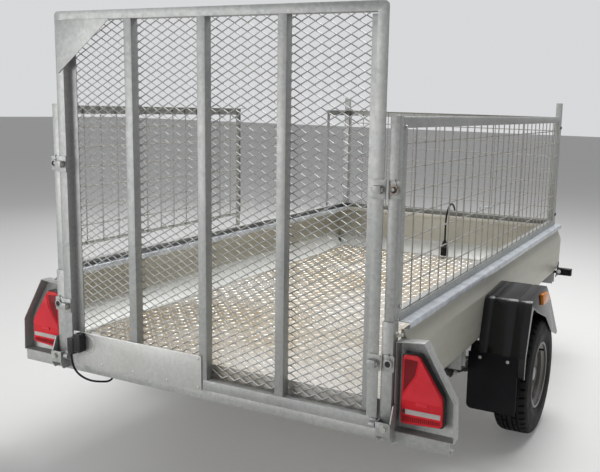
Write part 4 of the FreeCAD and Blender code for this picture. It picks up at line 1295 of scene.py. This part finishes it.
@dataclass
class Fittings:
    """Bolts, rivets, screws and small pressings that the solids leave out."""

    palette: Palette

    def chassis_bolts(self) -> None:
        """Makes the bright hex heads and nuts on the frame."""
        shape = Shape()
        back, out = Vector((0, -1, 0)), Vector((1, 0, 0))
        shape.head(at(632, -20, 398), back, 9.5 * MM, 6 * MM, 6, 12 * MM)
        shape.head(at(632, 18, 364), back, 7.0 * MM, 5 * MM)
        for y in (652, 1528):
            for x, way in ((614, out), (546, -out)):
                shape.head(at(x, y, 347), way, 10 * MM, 7 * MM)
        for y in (1062, 1118):
            for x in (554.7, 605.3):
                shape.head(at(x, y, 214), Vector((0, 0, -1)), 9 * MM, 8 * MM)
        for y in (700, 1180, 1900):
            shape.head(at(616, y, 455), Vector((0, 0, -1)), 8 * MM, 5 * MM, 6, 10 * MM)
        for z in (1241, 738):
            shape.head(at(637, 52, z), out, 6.5 * MM, 5 * MM)
        shape.head(at(640.5, 25.5, 664), out, 9 * MM, 7 * MM)
        shape.rod(at(640, 25.5, 664), at(662, 25.5, 664), 4 * MM, 14)
        shape.block(at(653, 8, 662), at(657, 43, 666))
        shape.mirror_x()
        for y, z in ((1085, 1241), (1085, 738), (1975, 1244), (1975, 737)):
            shape.head(at(-634, y, z), out, 7.5 * MM, 5 * MM)
        shape.finish("frame_bolts", self.palette["bolt_zinc"], Body.CHASSIS, "zinc_bright")

    def black_knobs(self) -> None:
        """Makes the black knobs and caps on the posts."""
        shape = Shape()
        for z in (1211, 751):
            shape.ball(at(637, 2194, z), 9 * MM, (0.7, 1, 1), 8)
        shape.block(at(609.6, 12.1, 1268), at(636.4, 38.9, 1271.9))
        shape.block(at(609.6, 2180.6, 1335), at(636.4, 2207.4, 1338.9))
        shape.mirror_x()
        shape.ball(at(-629, 70, 1158), 8 * MM, (1, 1, 1), 8)
        shape.block(at(-634, 62, 1154), at(-622, 78, 1162))
        shape.finish("post_knobs", self.palette["black_plastic"], Body.CHASSIS, "black_plastic")

    def gate_rivets(self) -> None:
        """Makes the number plate's rivets, its pressed ring and small tab."""
        shape = Shape()
        for x, z in ((-431, 395), (-293, 394.6), (-150, 393), (-26, 390), (-545, 487),
                     (-24, 486)):
            shape.ball(at(x, -4, z), 5 * MM, (1, 0.4, 1), 8)
        profile = [(0.0, 33 * MM), (1.6 * MM, 32 * MM), (2.0 * MM, 30.5 * MM), (1.6 * MM, 29 * MM),
                   (0.0, 28 * MM)]
        shape.lathe(profile, at(-494, -3.9, 458), Vector((0, -1, 0)), Vector((0, 0, 1)), 48)
        shape.block(at(-474, -3.5, 492), at(-434, -1.5, 506))
        shape.finish("plate_rivets", self.palette["plate_sheet"], Body.GATE, "plate_sheet")

    def latch_details(self) -> None:
        """Makes the catches' dark bores with their bolt ends, and the guides' hooks."""
        holes, ends = Shape(), Shape()
        for z, face in ((1072, 2.0), (582, -1.5)):
            holes.rod(at(629, face + 0.8, z), at(629, face + 9, z), 9.4 * MM, 24)
            if z > 1000:
                ends.rod(at(625, face + 0.4, z + 1), at(625, face + 8, z + 1), 5.0 * MM, 20)
            ends.lathe([(0.0, 9.2 * MM), (1.2 * MM, 9.6 * MM), (1.4 * MM, 11.5 * MM),
                        (0.6 * MM, 13.2 * MM), (0.0, 13.4 * MM)],
                       at(629, face, z), Vector((0, -1, 0)), Vector((0, 0, 1)), 32)
            ends.plate([at(621, face + 4, z + 13), at(635, face + 4, z + 13),
                        at(628, face + 4, z + 30)], Vector((0, 3 * MM, 0)), 1.5 * MM)
        for shape, name, finish in ((holes, "catch_bores", "hole_shadow"),
                                    (ends, "catch_bolts", "galvanised")):
            shape.mirror_x()
            shape.finish(name, self.palette[finish], Body.CHASSIS, "rusty_steel")
        rust = Shape()
        rust.lathe([(0.2 * MM, 9.3 * MM), (1.6 * MM, 9.8 * MM), (1.8 * MM, 11.2 * MM),
                    (1.0 * MM, 13.6 * MM), (0.2 * MM, 14.0 * MM)],
                   at(629, 2, 1072), Vector((0, -1, 0)), Vector((0, 0, 1)), 32)
        rust.finish("catch_rust", self.palette["rusty_steel"], Body.CHASSIS, "rusty_steel")

    def front_marker(self) -> None:
        """Makes the front marker lamps, their brackets and clear round lenses."""
        shape = Shape()
        for x0, x1, y0, y1, z0, z1 in ((674, 752, 2154, 2184, 430, 468),
                                       (640, 690, 2162, 2178, 436, 450)):
            part = Shape()
            part.block(at(x0, y0, z0), at(x1, y1, z1))
            part.soften(0.005, 4)
            shape.join(part)
        shape.plate([at(669, 2150, 418), at(669, 2222, 418), at(669, 2222, 492)],
                    Vector((3 * MM, 0, 0)), 3 * MM)
        shape.mirror_x()
        shape.finish("front_markers_moulded", self.palette["black_plastic"], Body.CHASSIS,
                     "black_plastic", ("front_markers",))
        lens = Shape()
        profile = [(0.0, 0.1 * MM), (0.0, 11.0 * MM), (2.2 * MM, 10.4 * MM), (3.4 * MM, 7.5 * MM),
                   (3.9 * MM, 0.1 * MM)]
        lens.lathe(profile, at(686, 2154.4, 449), Vector((0, -1, 0)), Vector((0, 0, 1)), 28)
        lens.mirror_x()
        lens.finish("front_marker_lenses", self.palette["clear_lens"], Body.CHASSIS,
                    "black_plastic")

    def build(self) -> None:
        """Makes every small fitting."""
        self.chassis_bolts()
        self.black_knobs()
        self.gate_rivets()
        self.latch_details()
        self.front_marker()


@dataclass
class Cables:
    """The plate lamp's cable across the hinge, and the towing cable with its plug."""

    palette: Palette
    lamp_length: float = 0.251
    tow_length: float = 0.931
    # the same points as the solids' routes, in millimetres
    lamp_route: tuple = ((-556, -18, 422), (-556, -18, 385), (-536, -17, 352), (-500, -12, 334),
                         (-462, -4, 328), (-412, 36, 326), (-412, 36, 377))
    tow_route: tuple = ((52, 2168, 454), (52, 2165, 403), (52, 2164, 346), (52, 2197.5, 312.5),
                        (52, 2244.5, 312.5), (52, 2278, 346), (52, 2281, 411), (52, 2279, 478),
                        (52, 2281, 548), (52, 2277, 620), (52, 2272, 685), (52, 2245, 740),
                        (52, 2192, 765), (52, 2138, 742), (52, 2110, 690), (52, 2106, 628),
                        (52, 2106, 566))

    def spline(self, route: tuple, name: str, radius: float) -> bpy.types.Object:
        """Makes a smooth curve with the route's points as its control points.

        Args:
            route: Points in millimetres.
            name: The curve's name.
            radius: Radius of the sheath, none at 0.

        Returns:
            The curve's object.
        """
        curve = bpy.data.curves.new(name, "CURVE")
        curve.dimensions = "3D"
        line = curve.splines.new("NURBS")
        line.points.add(len(route) - 1)
        for point, where in zip(line.points, route):
            point.co = (*at(*where), 1.0)
        line.order_u = 3
        line.use_endpoint_u = True
        line.resolution_u = 8
        curve.bevel_depth = radius
        curve.bevel_resolution = 4
        curve.use_fill_caps = radius > 0
        piece = bpy.data.objects.new(name, curve)
        bpy.context.scene.collection.objects.link(piece)
        return piece

    def lamp_cable(self) -> None:
        """Sweeps a tube along the lamp cable's spline, across the hinge."""
        guide = self.spline(self.lamp_route, "lamp_cable_line", 0.0)
        bpy.context.view_layer.update()
        flat = bpy.data.meshes.new_from_object(guide)
        path = [v.co.copy() for v in flat.vertices]
        bpy.data.meshes.remove(flat)
        bpy.data.objects.remove(guide)
        shape = Shape()
        bm = shape.bm
        radius, sides = 3.5 * MM, 14
        rings = []
        for i, point in enumerate(path):
            ahead = (path[min(i + 1, len(path) - 1)] - path[max(i - 1, 0)]).normalized()
            turn = ahead.to_track_quat("Z", "X").to_matrix().to_4x4()
            ring = bmesh.ops.create_circle(bm, cap_ends=i in (0, len(path) - 1), radius=radius,
                                           segments=sides,
                                           matrix=Matrix.Translation(point) @ turn)["verts"]
            rings.append(ring)
        for near, far in zip(rings, rings[1:]):
            edges = [e for ring in (near, far) for e in
                     {e for v in ring for e in v.link_edges if e.other_vert(v) in ring}]
            bmesh.ops.bridge_loops(bm, edges=edges)
        piece = shape.finish("lamp_cable_tube", self.palette["cable_rubber"], None,
                             "cable_rubber", ("lamp_cable",), crease=60.0)
        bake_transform(piece)

    def tow_cable(self) -> None:
        """Makes the towing cable and its ribbed plug."""
        piece = self.spline(self.tow_route, "tow_cable_line", 5 * MM)
        piece.data.materials.append(self.palette["cable_rubber"])
        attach(piece, Body.CHASSIS.value)
        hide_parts("main_cable")
        shape = Shape()
        profile = [(0.0, 0.2), (0.0, 6.5), (-6, 7.5), (-30, 10.0), (-12, 13.0), (-36, 16.5),
                   (-40, 21.0), (-58, 22.0), (-58.5, 20.6), (-62, 20.6), (-62.5, 22.0),
                   (-66, 22.0), (-66.5, 20.6), (-70, 20.6), (-70.5, 22.0), (-88, 22.0),
                   (-90, 20.5), (-90, 15.0), (-80, 14.0), (-80, 0.2)]
        shape.lathe([(a * MM, r * MM) for a, r in profile], at(52, 2106, 566),
                    Vector((0, 0, 1)), Vector((0, 1, 0)), 40)
        plug = shape.finish("tow_plug", self.palette["plug_plastic"], Body.CHASSIS,
                            "plug_plastic", ("plug",))

    def build(self) -> None:
        """Makes both cables."""
        self.lamp_cable()
        self.tow_cable()


@dataclass
class Studio:
    """Camera, wide floor, lamps and pale world."""

    reach: float = 40.0
    # the world's level as a light and as it shows, and how much of that metal mirrors
    world_lights: float = 0.19
    world_shows: float = 0.72
    mirrored_share: float = 0.65
    floor_glow: float = 0.11
    focal_px: float = 750.876
    frame_px: tuple[int, int] = (600, 472)
    centre_px: tuple[float, float] = (370.014, 227.428)
    place: tuple[float, float, float] = (1.42236, -1.85299 + SHIFT_Y, 1.29215)
    yaw: float = 0.4345
    pitch: float = -0.15917
    roll: float = 0.02943

    def camera(self) -> None:
        """Sets the camera as the photograph was taken."""
        data = bpy.data.cameras.new("camera")
        width, height = self.frame_px
        data.sensor_width = 36.0
        data.lens = self.focal_px * 36.0 / width
        data.shift_x = (width / 2 - self.centre_px[0]) / width
        data.shift_y = (self.centre_px[1] - height / 2) / width
        data.clip_end = 200.0
        ahead = Vector((-math.sin(self.yaw) * math.cos(self.pitch),
                        math.cos(self.yaw) * math.cos(self.pitch), math.sin(self.pitch)))
        right = Vector((math.cos(self.yaw), math.sin(self.yaw), 0.0))
        up = right.cross(ahead)
        c, s = math.cos(self.roll), math.sin(self.roll)
        right, up = right * c + up * s, up * c - right * s
        turn = Matrix((right, up, -ahead)).transposed().to_4x4()
        camera = bpy.data.objects.new("camera", data)
        camera.matrix_world = Matrix.Translation(self.place) @ turn
        bpy.context.scene.collection.objects.link(camera)
        bpy.context.scene.camera = camera

    def ground(self) -> None:
        """Lays a wide flat floor, with nothing upright that could hide the object."""
        bm = bmesh.new()
        bmesh.ops.create_grid(bm, x_segments=1, y_segments=1, size=self.reach)
        mesh = bpy.data.meshes.new("studio_floor")
        bm.to_mesh(mesh)
        bm.free()
        piece = bpy.data.objects.new("studio_floor", mesh)
        bpy.context.scene.collection.objects.link(piece)
        g = Graph("studio_floor")
        g.colour(g.blend(g.spread(g.noise(0.6, 3.0), 0.0, 0.2), (0.68, 0.68, 0.67),
                         (0.64, 0.64, 0.63)))
        g.set(Roughness=0.7, Emission_Strength=self.floor_glow)
        g.shader.inputs["Emission Color"].default_value = (1.0, 1.0, 0.99, 1.0)
        mesh.materials.append(g.material)

    def lamps(self) -> None:
        """Adds soft lights from above and behind, and a pale world."""
        # name, place, size, power, target
        rows = [("ceiling", (0.5, 0.6, 4.8), 3.0, 235.0, (0.0, 0.2, 0.4)),
                ("window", (-2.8, -5.0, 1.5), 2.6, 84.0, (0.0, -0.8, 0.4)),
                ("far", (-3.6, 3.4, 3.2), 3.2, 40.0, (0.0, 0.2, 0.6))]
        for name, place, size, power, target in rows:
            data = bpy.data.lights.new(name, "AREA")
            data.shape = "SQUARE"
            data.size = size
            data.energy = power
            lamp = bpy.data.objects.new(name, data)
            aim = (Vector(target) - Vector(place)).to_track_quat("-Z", "Y").to_matrix().to_4x4()
            lamp.matrix_world = Matrix.Translation(place) @ aim
            bpy.context.scene.collection.objects.link(lamp)
        world = bpy.data.worlds.new("studio")
        world.use_nodes = True
        tree = world.node_tree
        back = tree.nodes["Background"]
        back.inputs["Color"].default_value = (0.95, 0.96, 0.98, 1.0)
        path = tree.nodes.new("ShaderNodeLightPath")
        seen = tree.nodes.new("ShaderNodeMath")
        seen.operation = "MAXIMUM"
        tree.links.new(path.outputs["Is Camera Ray"], seen.inputs[0])
        also = tree.nodes.new("ShaderNodeMath")
        also.operation = "MAXIMUM"
        tree.links.new(path.outputs["Is Transmission Ray"], also.inputs[0])
        mirrored = tree.nodes.new("ShaderNodeMath")
        mirrored.operation = "MULTIPLY"
        mirrored.inputs[1].default_value = self.mirrored_share
        tree.links.new(path.outputs["Is Glossy Ray"], mirrored.inputs[0])
        tree.links.new(mirrored.outputs["Value"], also.inputs[1])
        tree.links.new(also.outputs["Value"], seen.inputs[1])
        level = tree.nodes.new("ShaderNodeMapRange")
        level.inputs["To Min"].default_value = self.world_lights
        level.inputs["To Max"].default_value = self.world_shows
        tree.links.new(seen.outputs["Value"], level.inputs["Value"])
        tree.links.new(level.outputs["Result"], back.inputs["Strength"])
        bpy.context.scene.world = world

    def build(self) -> None:
        """Sets up the whole studio."""
        self.camera()
        self.ground()
        self.lamps()
        bpy.context.scene.view_settings.view_transform = "Standard"


def main() -> None:
    """Builds the dressed trailer in order."""
    logging.basicConfig(level=logging.INFO, format="%(name)s %(message)s")
    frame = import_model()
    palette = Palette()
    Studio().build()
    Cables(palette).build()
    dressing = Dressing(frame, palette)
    dressing.build()
    ExpandedMetal(palette).build()
    WeldedMesh(palette, "side_wires_right", "side_mesh_right",
               (631.0, 62.0, 719.0), (634.0, 2172.0, 1265.0), True).build()
    WeldedMesh(palette, "side_wires_left", "side_mesh_left",
               (-634.0, 62.0, 769.0), (-631.0, 1100.0, 1265.0), True).build()
    WeldedMesh(palette, "front_wires", "front_mesh",
               (-605.0, 2198.0, 719.0), (605.0, 2201.0, 1265.0), False).build()
    Floor(palette).build()
    for side in Side:
        Wall(palette, side).build()
        Wheel(palette, side).build()
    TailLamps(palette).build()
    Flaps(palette).build()
    PlateLamp(palette).build()
    Fittings(palette).build()
    dressing.paint_nodes()


if __name__ == "__main__":
    main()
